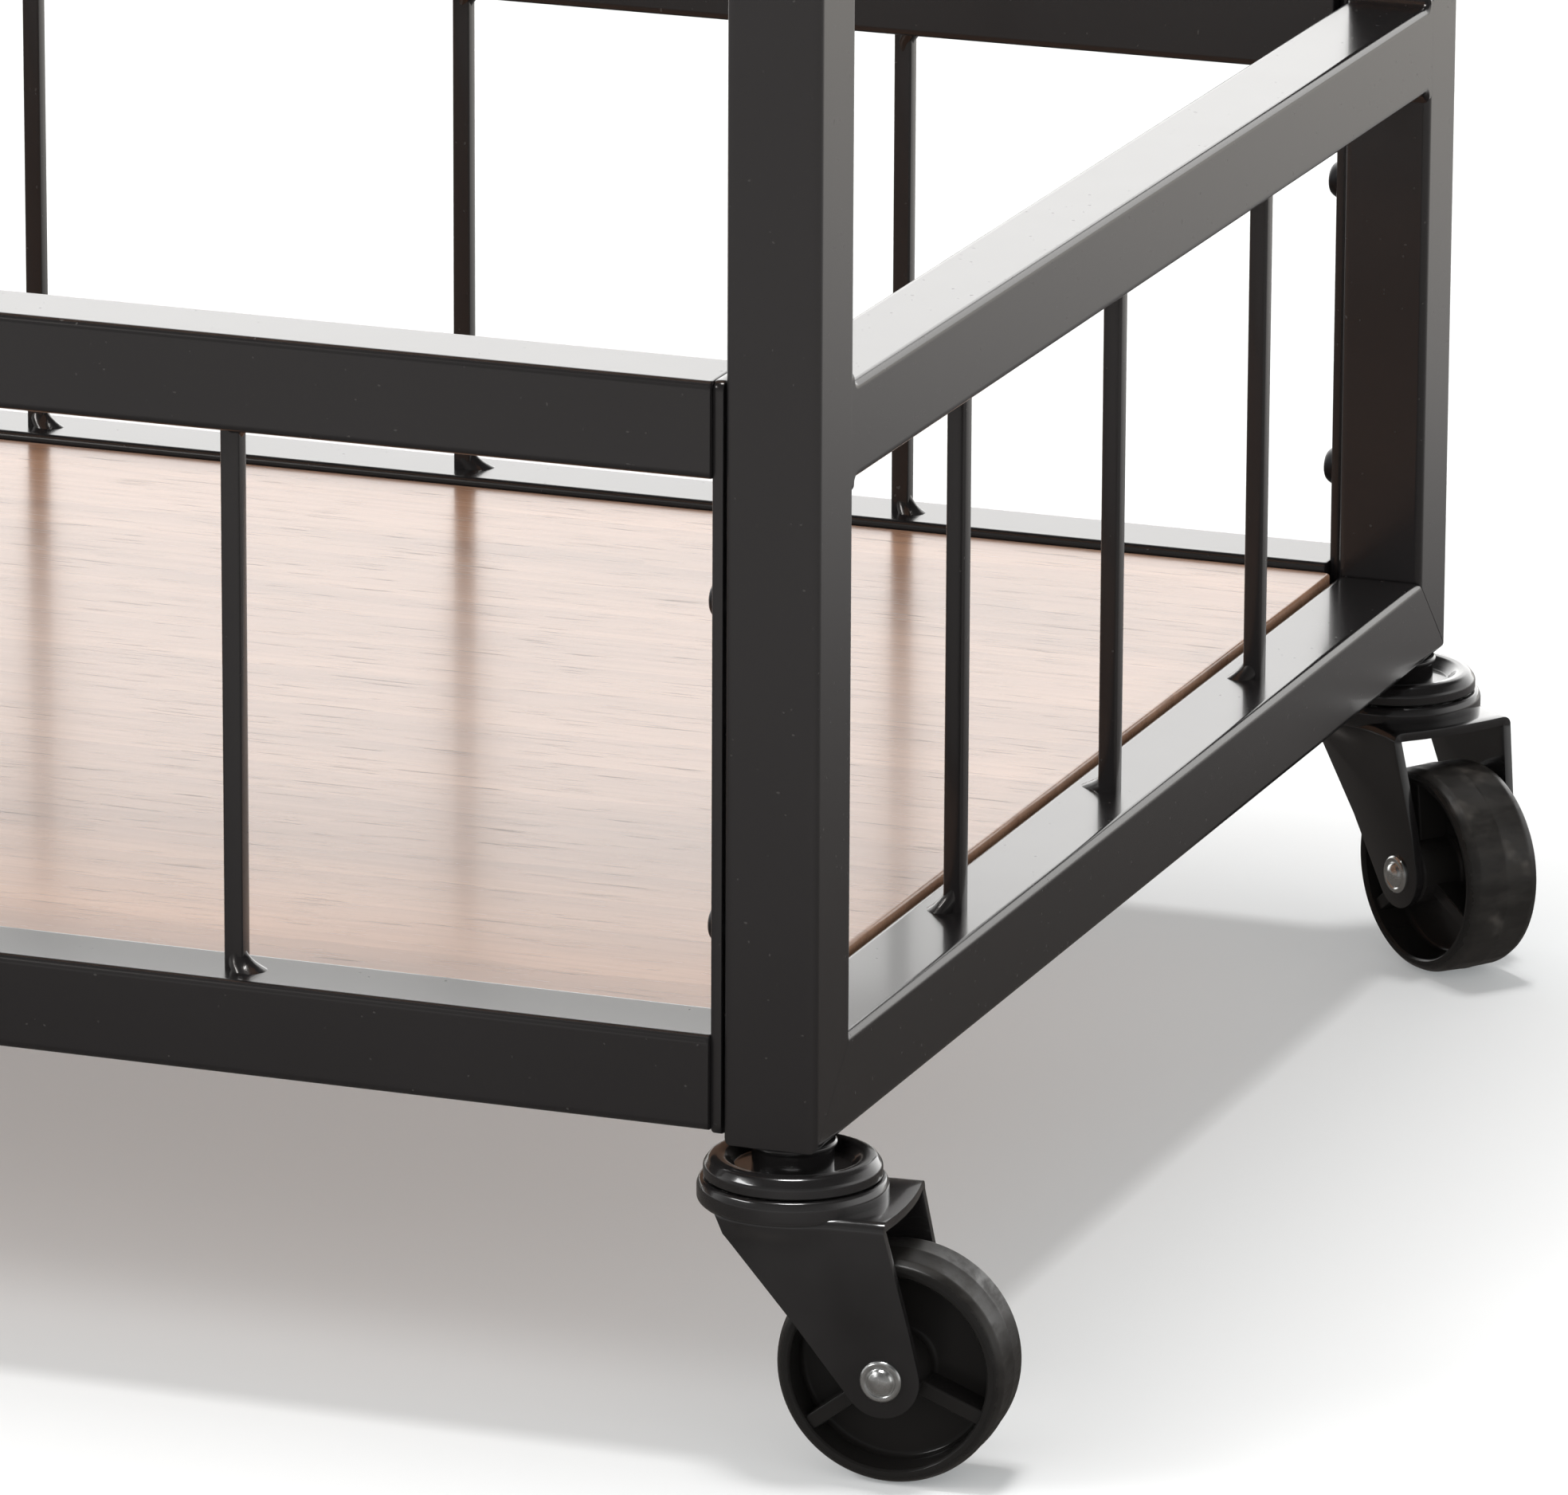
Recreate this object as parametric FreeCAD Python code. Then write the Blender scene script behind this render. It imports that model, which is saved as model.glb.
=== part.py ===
import FreeCAD, Part
import math
import os

# A knock-down bar cart on four swivel casters. Two welded end frames carry two tiers.
# Each tier has a timber shelf board inside a gallery: two bolted long-side panels and
# the rails and rods of the end frames. Millimetres, origin on the floor at the centre,
# +X along the length, +Y towards the back, +Z up.

Vector = FreeCAD.Vector
X, Y, Z = 0, 1, 2

# Driving dimensions of the frame
LENGTH = 810.0             # over the end frames
DEPTH = 414.0              # over the posts
HEIGHT = 850.0             # floor to the top rails
FOOT = 69.0                # floor to the underside of the posts
TUBE = 20.0                # square tube of the posts and rails
WALL = 1.2
TUBE_CORNER = 1.6          # outer corner radius of the tube
GALLERY = 155.0            # shelf rail underside to gallery rail top, lower end rails
PANEL_RISE = 2.4           # long-side panels stand this much above the end rails
PANEL_HEIGHT = 155.2

# Gallery rods
ROD = 4.2                  # square section
ROD_CORNER = 0.6
WELD_FOOT = 8.4            # width of the weld bead on the rail
WELD_HEIGHT = 3.2
END_ROD_PITCH = 97.6
PANEL_ROD_PITCH = 110.0
PANEL_RODS = 6

# End plates of the long-side panels and their fasteners
PLATE = 2.4
PLATE_WIDTH = 15.0
PLATE_INSET = 1.2          # plate edge behind the outer face of the rails
PLATE_DROP = 1.0           # plate bottom below the shelf rail
PLATE_CORNER = 2.0
BOLT_HEIGHTS = (43.4, 110.8)
BOLT_SHANK = 2.5
BOLT_LENGTH = 14.0
BOLT_HEAD = 4.75
BOLT_HEAD_HEIGHT = 3.2
BOLT_SOCKET = 1.7
INSERT_FLANGE = 5.0
INSERT_FLANGE_THICK = 0.7
INSERT_BODY = 3.4
INSERT_LENGTH = 11.0
CLEARANCE = 0.05

# Shelf boards, the tabs below them and the tab screws
BOARD = 15.0
BOARD_TOP = 20.8           # above the underside of the end shelf rails
BOARD_GAP = 1.0
BOARD_EDGE = 0.6
TAB = 2.0
TAB_WIDTH = 16.0
TAB_REACH = 10.0
SIDE_TABS = (-250.0, 0.0, 250.0)
END_TABS = (-110.0, 110.0)
SCREW_HEAD = 3.5
SCREW_HEAD_HEIGHT = 1.8
SCREW_SHANK = 1.6
SCREW_BITE = 10.0

# Casters: wheel, fork, raceway and stem
CASTER_OUTSET = 1.5        # swivel axis outboard of the post centre
WHEEL = 24.0
TREAD = 19.0
TREAD_ROUND = 3.2
RIM_INNER = 20.4
WEB = 1.2                  # half thickness of the wheel web
HUB = 7.4
HUB_REACH = 11.9
RIB_WIDTH = 2.2
RIB_REACH = 8.3
RIBS = 3
RIB_START = 27.0
TRAIL = 22.5
AXLE = 3.0
AXLE_BORE = 3.06
AXLE_HEAD = 4.35
AXLE_HEAD_HEIGHT = 2.2
NUT_FLATS = 8.0
NUT_HEIGHT = 3.2
FORK_SHEET = 2.0
FORK_HALF = 14.2           # half width over the legs
FORK_TOP = 57.6
LEG_ROUND = 7.9
LEG_BACK = -11.3
LEG_SHOULDER = 54.0
FORK_FRONT = 24.9
FOLD = 2.0
CROWN = 19.5
CROWN_INNER = 16.9
CROWN_TOP = 61.1
RACE_TOP = 60.5
RACE_UNDER = 58.3
KINGPIN = 4.0
KINGPIN_BORE = 4.08
KINGPIN_HEAD = 6.5
KINGPIN_HEAD_HEIGHT = 2.2
CAP = 18.2
CAP_BOTTOM = 61.4
CAP_TOP = 64.6
CAP_FLOOR = 63.4
CAP_SHEET = 1.1
COLLAR = 9.0
STEM = 5.0
STEM_REACH = 16.0
BUSH = 7.0
BUSH_HEIGHT = 12.0
BALL = 1.3
BALL_CIRCLE = 15.3
BALLS = 12

# Places that follow from the driving dimensions
HALF_LENGTH = LENGTH / 2
HALF_DEPTH = DEPTH / 2
INNER_X = HALF_LENGTH - TUBE
INNER_Y = HALF_DEPTH - TUBE
POST_X = HALF_LENGTH - TUBE / 2
POST_Y = HALF_DEPTH - TUBE / 2
TIERS = {"lower": FOOT, "upper": HEIGHT - PANEL_RISE - PANEL_HEIGHT}
ENDS = {"left": -1, "right": 1}
SIDES = {"front": -1, "rear": 1}
PANEL_X = INNER_X - INSERT_FLANGE_THICK
RAIL_X = PANEL_X - PLATE
CASTER_TURNS = {("front", "right"): 5.0, ("rear", "right"): -38.0,
                ("front", "left"): 175.0, ("rear", "left"): 218.0}


def ordered(low, high):
    """Low and high corners of a box given by any two opposite corners."""
    pairs = list(zip(low, high))
    return [min(pair) for pair in pairs], [max(pair) for pair in pairs]


def block(low, high):
    low, high = ordered(low, high)
    return Part.makeBox(*[h - l for l, h in zip(low, high)], Vector(*low))


def rounded_bar(low, high, axis, radius):
    """Box whose four edges along one axis are rounded."""
    bar = block(low, high)
    edges = [e for e in bar.Edges if abs(e.tangentAt(e.FirstParameter)[axis]) > 0.9]
    return bar.makeFillet(radius, edges)


def square_tube(low, high, axis):
    """Hollow square tube along one axis, open at both ends."""
    low, high = ordered(low, high)
    bore_low = [v + WALL for v in low]
    bore_high = [v - WALL for v in high]
    bore_low[axis] = low[axis] - 1.0
    bore_high[axis] = high[axis] + 1.0
    outer = rounded_bar(low, high, axis, TUBE_CORNER)
    return outer.cut(rounded_bar(bore_low, bore_high, axis, TUBE_CORNER - WALL))


def cylinder(radius, height, base, direction=(0, 0, 1)):
    return Part.makeCylinder(radius, height, Vector(*base), Vector(*direction))


def revolve(profile, axis=(0, 0, 1)):
    """Solid of revolution of a closed outline of (radius, height) points about +Z."""
    points = [Vector(r, 0, h) for r, h in profile]
    face = Part.Face(Part.makePolygon(points + points[:1]))
    return face.revolve(Vector(0, 0, 0), Vector(*axis), 360)


def mitre_wedge(end_sign, outer_z, inner_z, side_sign, keep):
    """Prism on one side of the 45 degree weld plane at a corner of an end frame.

    keep is "post" for the wedge that trims a rail, "rail" for the one that trims a post.
    """
    outer = Vector(0, side_sign * HALF_DEPTH, outer_z)
    inner = Vector(0, side_sign * INNER_Y, inner_z)
    step = (inner - outer) * 0.5
    far_outer, far_inner = outer - step, inner + step
    if keep == "post":
        third = Vector(0, far_outer.y, far_inner.z)
    else:
        third = Vector(0, far_inner.y, far_outer.z)
    face = Part.Face(Part.makePolygon([far_outer, far_inner, third, far_outer]))
    face.translate(Vector(min(end_sign * HALF_LENGTH, end_sign * INNER_X) - 1.0, 0, 0))
    return face.extrude(Vector(TUBE + 2.0, 0, 0))


def export(shape, name):
    shape.exportStep(os.path.join("parts", name + ".step"))


def bolt_levels():
    """Height of every panel bolt, lowest first."""
    return [datum + height for datum in TIERS.values() for height in BOLT_HEIGHTS]


# ---------------------------------------------------------------- welded end frames

def post(end, side):
    """Corner post, mitred at foot and top, drilled for the panel inserts."""
    low = (end * HALF_LENGTH, side * HALF_DEPTH, FOOT)
    high = (end * INNER_X, side * INNER_Y, HEIGHT)
    shape = square_tube(low, high, Z)
    shape = shape.cut(mitre_wedge(end, FOOT, FOOT + TUBE, side, "rail"))
    shape = shape.cut(mitre_wedge(end, HEIGHT, HEIGHT - TUBE, side, "rail"))
    for level in bolt_levels():
        start = (end * (INNER_X - 1.0), side * POST_Y, level)
        shape = shape.cut(cylinder(INSERT_BODY + CLEARANCE, WALL + 2.0, start, (end, 0, 0)))
    return shape


def end_rail(end, z_low, reach=INNER_Y):
    low = (end * HALF_LENGTH, -reach, z_low)
    high = (end * INNER_X, reach, z_low + TUBE)
    return square_tube(low, high, Y)


def mitred_rail(end, outer_z, inner_z):
    """End rail that meets both posts on the weld planes."""
    shape = end_rail(end, min(outer_z, inner_z), HALF_DEPTH)
    for side in SIDES.values():
        shape = shape.cut(mitre_wedge(end, outer_z, inner_z, side, "post"))
    return shape


def bottom_rail(end):
    shape = mitred_rail(end, FOOT, FOOT + TUBE)
    for side in SIDES.values():
        start = (end * (POST_X + CASTER_OUTSET), side * POST_Y, FOOT - 1.0)
        shape = shape.cut(cylinder(STEM + CLEARANCE, WALL + 2.0, start))
    return shape


def rod(x, y, z_low, z_high):
    """Square gallery rod with a weld bead on the rail at each end."""
    half = ROD / 2
    shape = rounded_bar((x - half, y - half, z_low), (x + half, y + half, z_high), Z, ROD_CORNER)
    for level, inward in ((z_low, 1), (z_high, -1)):
        squares = []
        for width, height in ((WELD_FOOT, 0.0), (ROD + 1.2, 0.45), (ROD - 0.2, 1.0)):
            reach = width / 2
            corners = [(-reach, -reach), (reach, -reach), (reach, reach), (-reach, reach)]
            z = level + inward * height * WELD_HEIGHT
            points = [Vector(x + dx, y + dy, z) for dx, dy in corners]
            squares.append(Part.makePolygon(points + points[:1]))
        shape = shape.fuse(Part.makeLoft(squares, True, True))
    return shape.removeSplitter()


def end_rods(end, z_low, z_high):
    places = (-END_ROD_PITCH, 0.0, END_ROD_PITCH)
    return Part.makeCompound([rod(end * POST_X, y, z_low, z_high) for y in places])


def make_end_frame(end_name, end):
    for side_name, side in SIDES.items():
        export(post(end, side), "post_%s_%s" % (side_name, end_name))
    lower, upper = TIERS["lower"], TIERS["upper"]
    gallery = lower + GALLERY - TUBE
    export(bottom_rail(end), end_name + "_bottom_rail")
    export(end_rail(end, gallery), end_name + "_gallery_rail")
    export(end_rail(end, upper), end_name + "_upper_shelf_rail")
    export(mitred_rail(end, HEIGHT, HEIGHT - TUBE), end_name + "_top_rail")
    export(end_rods(end, lower + TUBE, gallery), end_name + "_lower_rods")
    export(end_rods(end, upper + TUBE, HEIGHT - TUBE), end_name + "_upper_rods")


# ---------------------------------------------------------------- bolted side panels

def panel_rail(side, z_low):
    low = (-RAIL_X, side * HALF_DEPTH, z_low)
    high = (RAIL_X, side * INNER_Y, z_low + TUBE)
    return square_tube(low, high, X)


def panel_plates(side, datum):
    """Two upright plates that close the ends of a panel and take its bolts."""
    plates = []
    for end in ENDS.values():
        low = (end * RAIL_X, side * (HALF_DEPTH - PLATE_INSET), datum + PANEL_RISE - PLATE_DROP)
        high = (end * PANEL_X, side * (HALF_DEPTH - PLATE_INSET - PLATE_WIDTH),
                datum + PANEL_RISE + PANEL_HEIGHT)
        plate = rounded_bar(low, high, X, PLATE_CORNER)
        for height in BOLT_HEIGHTS:
            start = (end * (RAIL_X - 1.0), side * POST_Y, datum + height)
            plate = plate.cut(cylinder(BOLT_SHANK + 0.2, PLATE + 2.0, start, (end, 0, 0)))
        plates.append(plate)
    return Part.makeCompound(plates)


def panel_rods(side, datum):
    z_low = datum + PANEL_RISE + TUBE
    z_high = datum + PANEL_RISE + PANEL_HEIGHT - TUBE
    first = -PANEL_ROD_PITCH * (PANEL_RODS - 1) / 2
    places = [first + PANEL_ROD_PITCH * i for i in range(PANEL_RODS)]
    return Part.makeCompound([rod(x, side * POST_Y, z_low, z_high) for x in places])


def make_panel(side_name, side, tier, datum):
    base = "%s_%s_" % (side_name, tier)
    shelf_rail = datum + PANEL_RISE
    export(panel_rail(side, shelf_rail), base + "shelf_rail")
    export(panel_rail(side, shelf_rail + PANEL_HEIGHT - TUBE), base + "gallery_rail")
    export(panel_plates(side, datum), base + "end_plates")
    export(panel_rods(side, datum), base + "rods")


def bolt(start, end):
    """Button-head bolt: the head sits on the inner face of the plate."""
    x, y, z = start
    outline = [(0, -BOLT_HEAD_HEIGHT), (BOLT_HEAD * 0.62, -BOLT_HEAD_HEIGHT),
               (BOLT_HEAD * 0.9, -BOLT_HEAD_HEIGHT * 0.6), (BOLT_HEAD, 0),
               (BOLT_SHANK, 0), (BOLT_SHANK, BOLT_LENGTH), (0, BOLT_LENGTH)]
    shape = revolve(outline)
    socket = hexagon(BOLT_SOCKET * 2, 2.0, -BOLT_HEAD_HEIGHT)
    shape = shape.cut(socket)
    shape.rotate(Vector(0, 0, 0), Vector(0, 1, 0), 90 * end)
    shape.translate(Vector(x, y, z))
    return shape


def hexagon(flats, height, base):
    """Upright hexagonal prism on the Z axis, measured across its flats."""
    reach = flats / math.sqrt(3)
    points = [Vector(reach * math.cos(math.radians(60 * i)),
                     reach * math.sin(math.radians(60 * i)), base) for i in range(6)]
    return Part.Face(Part.makePolygon(points + points[:1])).extrude(Vector(0, 0, height))


def insert(start, end):
    """Flanged threaded insert in the post wall; its flange spaces the plate off the post."""
    bore = BOLT_SHANK + CLEARANCE
    outline = [(bore, -INSERT_FLANGE_THICK), (INSERT_FLANGE, -INSERT_FLANGE_THICK),
               (INSERT_FLANGE, 0), (INSERT_BODY, 0), (INSERT_BODY, INSERT_LENGTH),
               (bore, INSERT_LENGTH)]
    shape = revolve(outline)
    shape.rotate(Vector(0, 0, 0), Vector(0, 1, 0), 90 * end)
    shape.translate(Vector(*start))
    return shape


def make_panel_fasteners():
    bolts, inserts = [], []
    for end in ENDS.values():
        for side in SIDES.values():
            for level in bolt_levels():
                bolts.append(bolt((end * RAIL_X, side * POST_Y, level), end))
                inserts.append(insert((end * INNER_X, side * POST_Y, level), end))
    export(Part.makeCompound(bolts), "panel_bolts")
    export(Part.makeCompound(inserts), "panel_inserts")


# ---------------------------------------------------------------- shelf boards

def tab_places():
    """Wall point and inward direction of every shelf tab of one tier."""
    places = []
    for sign in (-1, 1):
        places += [((x, sign * INNER_Y), (0, -sign)) for x in SIDE_TABS]
        places += [((sign * INNER_X, y), (-sign, 0)) for y in END_TABS]
    return places


def tab_hole(place):
    (x, y), (dx, dy) = place
    return x + dx * TAB_REACH, y + dy * TAB_REACH


def tab(place, top):
    """Round-ended tongue welded to a rail below the board."""
    (x, y), (dx, dy) = place
    hole_x, hole_y = tab_hole(place)
    half = TAB_WIDTH / 2
    low = (x - abs(dy) * half, y - abs(dx) * half, top - TAB)
    high = (hole_x + abs(dy) * half, hole_y + abs(dx) * half, top)
    shape = block(low, high).fuse(cylinder(half, TAB, (hole_x, hole_y, top - TAB)))
    shape = shape.removeSplitter()
    return shape.cut(cylinder(SCREW_SHANK + 0.3, TAB + 2.0, (hole_x, hole_y, top - TAB - 1.0)))


def screw(place, head_top):
    hole_x, hole_y = tab_hole(place)
    outline = [(0, -SCREW_HEAD_HEIGHT), (SCREW_HEAD * 0.7, -SCREW_HEAD_HEIGHT), (SCREW_HEAD, -0.4),
               (SCREW_HEAD, 0), (SCREW_SHANK, 0), (SCREW_SHANK, TAB + SCREW_BITE - 1.0),
               (0, TAB + SCREW_BITE)]
    shape = revolve(outline)
    shape.translate(Vector(hole_x, hole_y, head_top))
    return shape


def board(datum):
    """Veneered shelf board with eased edges and blind pilot holes below."""
    reach_x, reach_y = INNER_X - BOARD_GAP, INNER_Y - BOARD_GAP
    top = datum + BOARD_TOP
    shape = block((-reach_x, -reach_y, top - BOARD), (reach_x, reach_y, top))
    shape = shape.makeChamfer(BOARD_EDGE, shape.Edges)
    for place in tab_places():
        hole_x, hole_y = tab_hole(place)
        pilot = cylinder(SCREW_SHANK + CLEARANCE, SCREW_BITE + 1.5, (hole_x, hole_y, top - BOARD - 1.0))
        shape = shape.cut(pilot)
    return shape


def make_shelves():
    tabs, screws = [], []
    for tier, datum in TIERS.items():
        export(board(datum), tier + "_shelf_board")
        tab_top = datum + BOARD_TOP - BOARD
        for place in tab_places():
            tabs.append(tab(place, tab_top))
            screws.append(screw(place, tab_top - TAB))
    export(Part.makeCompound(tabs), "shelf_tabs")
    export(Part.makeCompound(screws), "shelf_screws")


# ---------------------------------------------------------------- casters
# Each caster is modelled about its swivel axis on +Z, trailing along +X, then turned.

def stem():
    """Threaded stem, collar and riveted kingpin in one turned piece."""
    top = FOOT + STEM_REACH
    head_top = RACE_UNDER - 0.3
    outline = [(0, head_top - KINGPIN_HEAD_HEIGHT), (KINGPIN_HEAD * 0.75, head_top - KINGPIN_HEAD_HEIGHT),
               (KINGPIN_HEAD, head_top - 0.8), (KINGPIN_HEAD, head_top), (KINGPIN, head_top),
               (KINGPIN, CAP_FLOOR), (COLLAR - 0.6, CAP_FLOOR), (COLLAR, CAP_FLOOR + 0.6),
               (COLLAR, FOOT - 0.8), (COLLAR - 0.8, FOOT), (STEM, FOOT),
               (STEM, top - 1.0), (STEM - 1.0, top), (0, top)]
    return revolve(outline)


def raceway_cap():
    """Pressed ring that covers the ball race, dished round the collar."""
    under = CAP_TOP - CAP_SHEET
    skirt = CAP - CAP_SHEET
    floor_under = CAP_FLOOR - CAP_SHEET
    outline = [(KINGPIN + CLEARANCE, floor_under), (12.7, floor_under), (14.2, under), (16.0, under),
               (skirt - 0.3, under - 0.7), (skirt, CAP_BOTTOM), (CAP, CAP_BOTTOM), (CAP, 62.6),
               (CAP - 0.35, 63.6), (CAP - 1.1, 64.3), (CAP - 2.1, CAP_TOP), (14.4, CAP_TOP),
               (13.2, 64.3), (12.4, 63.7), (11.8, CAP_FLOOR), (KINGPIN + CLEARANCE, CAP_FLOOR)]
    return revolve(outline)


def tangent_point(point, centre, radius, side):
    """Where the line from a point touches a circle, on the side that is asked for."""
    dx, dz = point[0] - centre[0], point[1] - centre[1]
    distance = math.hypot(dx, dz)
    angle = math.atan2(dz, dx) + side * math.acos(radius / distance)
    return centre[0] + radius * math.cos(angle), centre[1] + radius * math.sin(angle)


def leg_prism():
    """Side outline of the fork legs, extruded across the fork."""
    centre = (TRAIL, WHEEL)
    back = (LEG_BACK, LEG_SHOULDER)
    front = (FORK_FRONT, FORK_TOP)
    back_touch = tangent_point(back, centre, LEG_ROUND, 1)
    front_touch = tangent_point(front, centre, LEG_ROUND, -1)
    lowest = (TRAIL, WHEEL - LEG_ROUND)
    at = {name: Vector(p[0], -FORK_HALF, p[1]) for name, p in (
        ("top", (LEG_BACK, FORK_TOP)), ("back", back), ("back_touch", back_touch),
        ("lowest", lowest), ("front_touch", front_touch), ("front", front))}
    edges = [Part.makeLine(at["top"], at["back"]),
             Part.makeLine(at["back"], at["back_touch"]),
             Part.Arc(at["back_touch"], at["lowest"], at["front_touch"]).toShape(),
             Part.makeLine(at["front_touch"], at["front"]),
             Part.makeLine(at["front"], at["top"])]
    return Part.Face(Part.Wire(edges)).extrude(Vector(0, 2 * FORK_HALF, 0))


def fork():
    """Pressed steel fork: two legs, a flat top and the raised cup of the ball race."""
    low = (LEG_BACK - 1.0, -FORK_HALF, 0.0)
    high = (TRAIL + LEG_ROUND + 1.0, FORK_HALF, FORK_TOP)
    channel = block(low, high)
    top_edges = [e for e in channel.Edges
                 if abs(e.tangentAt(e.FirstParameter).x) > 0.9 and e.CenterOfMass.z > FORK_TOP - 0.1]
    channel = channel.makeFillet(FOLD, top_edges)
    inner = FORK_HALF - FORK_SHEET
    channel = channel.cut(block((low[0] - 1.0, -inner, -1.0), (high[0] + 1.0, inner, FORK_TOP - FORK_SHEET)))
    shape = channel.common(leg_prism())
    cup_foot = FORK_TOP - FORK_SHEET
    cup = revolve([(0, cup_foot), (CROWN - 0.7, cup_foot), (CROWN, cup_foot + 0.7),
                   (CROWN, CROWN_TOP - 1.0), (CROWN - 0.3, CROWN_TOP - 0.3), (CROWN - 1.0, CROWN_TOP),
                   (CROWN_INNER + 0.6, CROWN_TOP), (CROWN_INNER, RACE_TOP), (0, RACE_TOP)])
    shape = shape.fuse(cup)
    shape = shape.cut(cylinder(CROWN_INNER, RACE_UNDER - cup_foot + 1.0, (0, 0, cup_foot - 1.0)))
    shape = shape.cut(cylinder(KINGPIN_BORE, 20.0, (0, 0, FORK_TOP - 10.0)))
    shape = shape.cut(cylinder(AXLE, 4 * FORK_HALF, (TRAIL, -2 * FORK_HALF, WHEEL), (0, 1, 0)))
    return shape.removeSplitter()


def turned_on_axle(outline):
    """Revolved piece on the wheel axle; outline heights run from front (-Y) to back."""
    shape = revolve(outline)
    shape.rotate(Vector(0, 0, 0), Vector(1, 0, 0), -90)
    shape.translate(Vector(TRAIL, 0, WHEEL))
    return shape


def axle():
    """Axle bolt with a domed head on one leg and a hexagon nut on the other."""
    rise = AXLE_HEAD_HEIGHT
    tip = FORK_HALF + NUT_HEIGHT + 0.8
    outline = [(0, -FORK_HALF - rise), (AXLE_HEAD * 0.42, -FORK_HALF - rise * 0.92),
               (AXLE_HEAD * 0.66, -FORK_HALF - rise * 0.6), (AXLE_HEAD * 0.72, -FORK_HALF - rise * 0.36),
               (AXLE_HEAD, -FORK_HALF - rise * 0.3), (AXLE_HEAD, -FORK_HALF), (AXLE, -FORK_HALF),
               (AXLE, tip - 0.6), (AXLE - 0.6, tip), (0, tip)]
    nut = hexagon(NUT_FLATS, NUT_HEIGHT, FORK_HALF).cut(
        cylinder(AXLE + CLEARANCE, NUT_HEIGHT + 2.0, (0, 0, FORK_HALF - 1.0)))
    nut.rotate(Vector(0, 0, 0), Vector(1, 0, 0), -90)
    nut.translate(Vector(TRAIL, 0, WHEEL))
    return Part.makeCompound([turned_on_axle(outline), nut])


def wheel():
    """Moulded wheel: rounded tread, dished faces, thin ribbed web and a long hub."""
    half = TREAD / 2
    side = [(AXLE_BORE, HUB_REACH), (HUB - 0.8, HUB_REACH), (HUB, HUB_REACH - 0.8), (HUB, WEB),
            (RIM_INNER, WEB), (RIM_INNER + 0.2, half), (WHEEL - TREAD_ROUND * 0.75, half),
            (WHEEL - TREAD_ROUND * 0.2, half - TREAD_ROUND * 0.4), (WHEEL, half - TREAD_ROUND * 1.1)]
    outline = side + [(r, -h) for r, h in reversed(side)]
    body = revolve(outline)
    for i in range(RIBS):
        rib = block((HUB - 1.0, -RIB_WIDTH / 2, -RIB_REACH), (RIM_INNER + 0.8, RIB_WIDTH / 2, RIB_REACH))
        rib.rotate(Vector(0, 0, 0), Vector(0, 0, 1), RIB_START + i * 360.0 / RIBS)
        body = body.fuse(rib)
    body = body.removeSplitter()
    body.rotate(Vector(0, 0, 0), Vector(1, 0, 0), -90)
    body.translate(Vector(TRAIL, 0, WHEEL))
    return body


def ball_ring():
    balls = []
    for i in range(BALLS):
        turn = 2 * math.pi * i / BALLS
        centre = Vector(BALL_CIRCLE * math.cos(turn), BALL_CIRCLE * math.sin(turn), RACE_TOP + 0.15 + BALL)
        balls.append(Part.makeSphere(BALL, centre))
    return balls


def bush():
    """Threaded bush welded inside the bottom rail, for the caster stem."""
    start = (0, 0, FOOT + WALL)
    return cylinder(BUSH, BUSH_HEIGHT, start).cut(
        cylinder(STEM + CLEARANCE, BUSH_HEIGHT + 2.0, (0, 0, FOOT + WALL - 1.0)))


def placed(shape, side_name, end_name, turn):
    """Copy of a caster piece turned about its swivel axis and set under its post."""
    copy = shape.copy()
    copy.rotate(Vector(0, 0, 0), Vector(0, 0, 1), turn)
    end, side = ENDS[end_name], SIDES[side_name]
    copy.translate(Vector(end * (POST_X + CASTER_OUTSET), side * POST_Y, 0))
    return copy


def make_casters():
    pieces = {"caster_stem_": stem(), "raceway_cap_": raceway_cap(), "caster_fork_": fork(),
              "caster_axle_": axle(), "caster_wheel_": wheel()}
    ball, balls, bushes = ball_ring(), [], []
    for (side_name, end_name), turn in CASTER_TURNS.items():
        for base, shape in pieces.items():
            export(placed(shape, side_name, end_name, turn), base + side_name + "_" + end_name)
        balls += [placed(one, side_name, end_name, turn) for one in ball]
        bushes.append(placed(bush(), side_name, end_name, turn))
    export(Part.makeCompound(balls), "swivel_balls")
    export(Part.makeCompound(bushes), "caster_bushes")


def main():
    os.makedirs("parts", exist_ok=True)
    for end_name, end in ENDS.items():
        make_end_frame(end_name, end)
    for tier, datum in TIERS.items():
        for side_name, side in SIDES.items():
            make_panel(side_name, side, tier, datum)
    make_panel_fasteners()
    make_shelves()
    make_casters()


main()
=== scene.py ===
import math

import bmesh
import bpy
from mathutils import Matrix, Vector


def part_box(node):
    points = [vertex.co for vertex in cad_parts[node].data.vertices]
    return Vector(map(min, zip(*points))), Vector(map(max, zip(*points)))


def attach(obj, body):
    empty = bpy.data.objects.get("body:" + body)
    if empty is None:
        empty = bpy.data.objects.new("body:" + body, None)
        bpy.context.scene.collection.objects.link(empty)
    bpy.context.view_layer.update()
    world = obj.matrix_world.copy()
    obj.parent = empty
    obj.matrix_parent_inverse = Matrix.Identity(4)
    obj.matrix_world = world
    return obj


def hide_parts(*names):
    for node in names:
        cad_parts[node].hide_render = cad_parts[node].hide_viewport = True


bl_info = {
    "name": "Bar Cart on Casters",
    "version": (1, 0, 0),
    "blender": (4, 5, 0),
    "location": "3D View > Sidebar > Bar Cart",
    "description": "Two-tier bar cart: welded square tube, timber shelves and swivel casters",
    "category": "Object",
}

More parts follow.
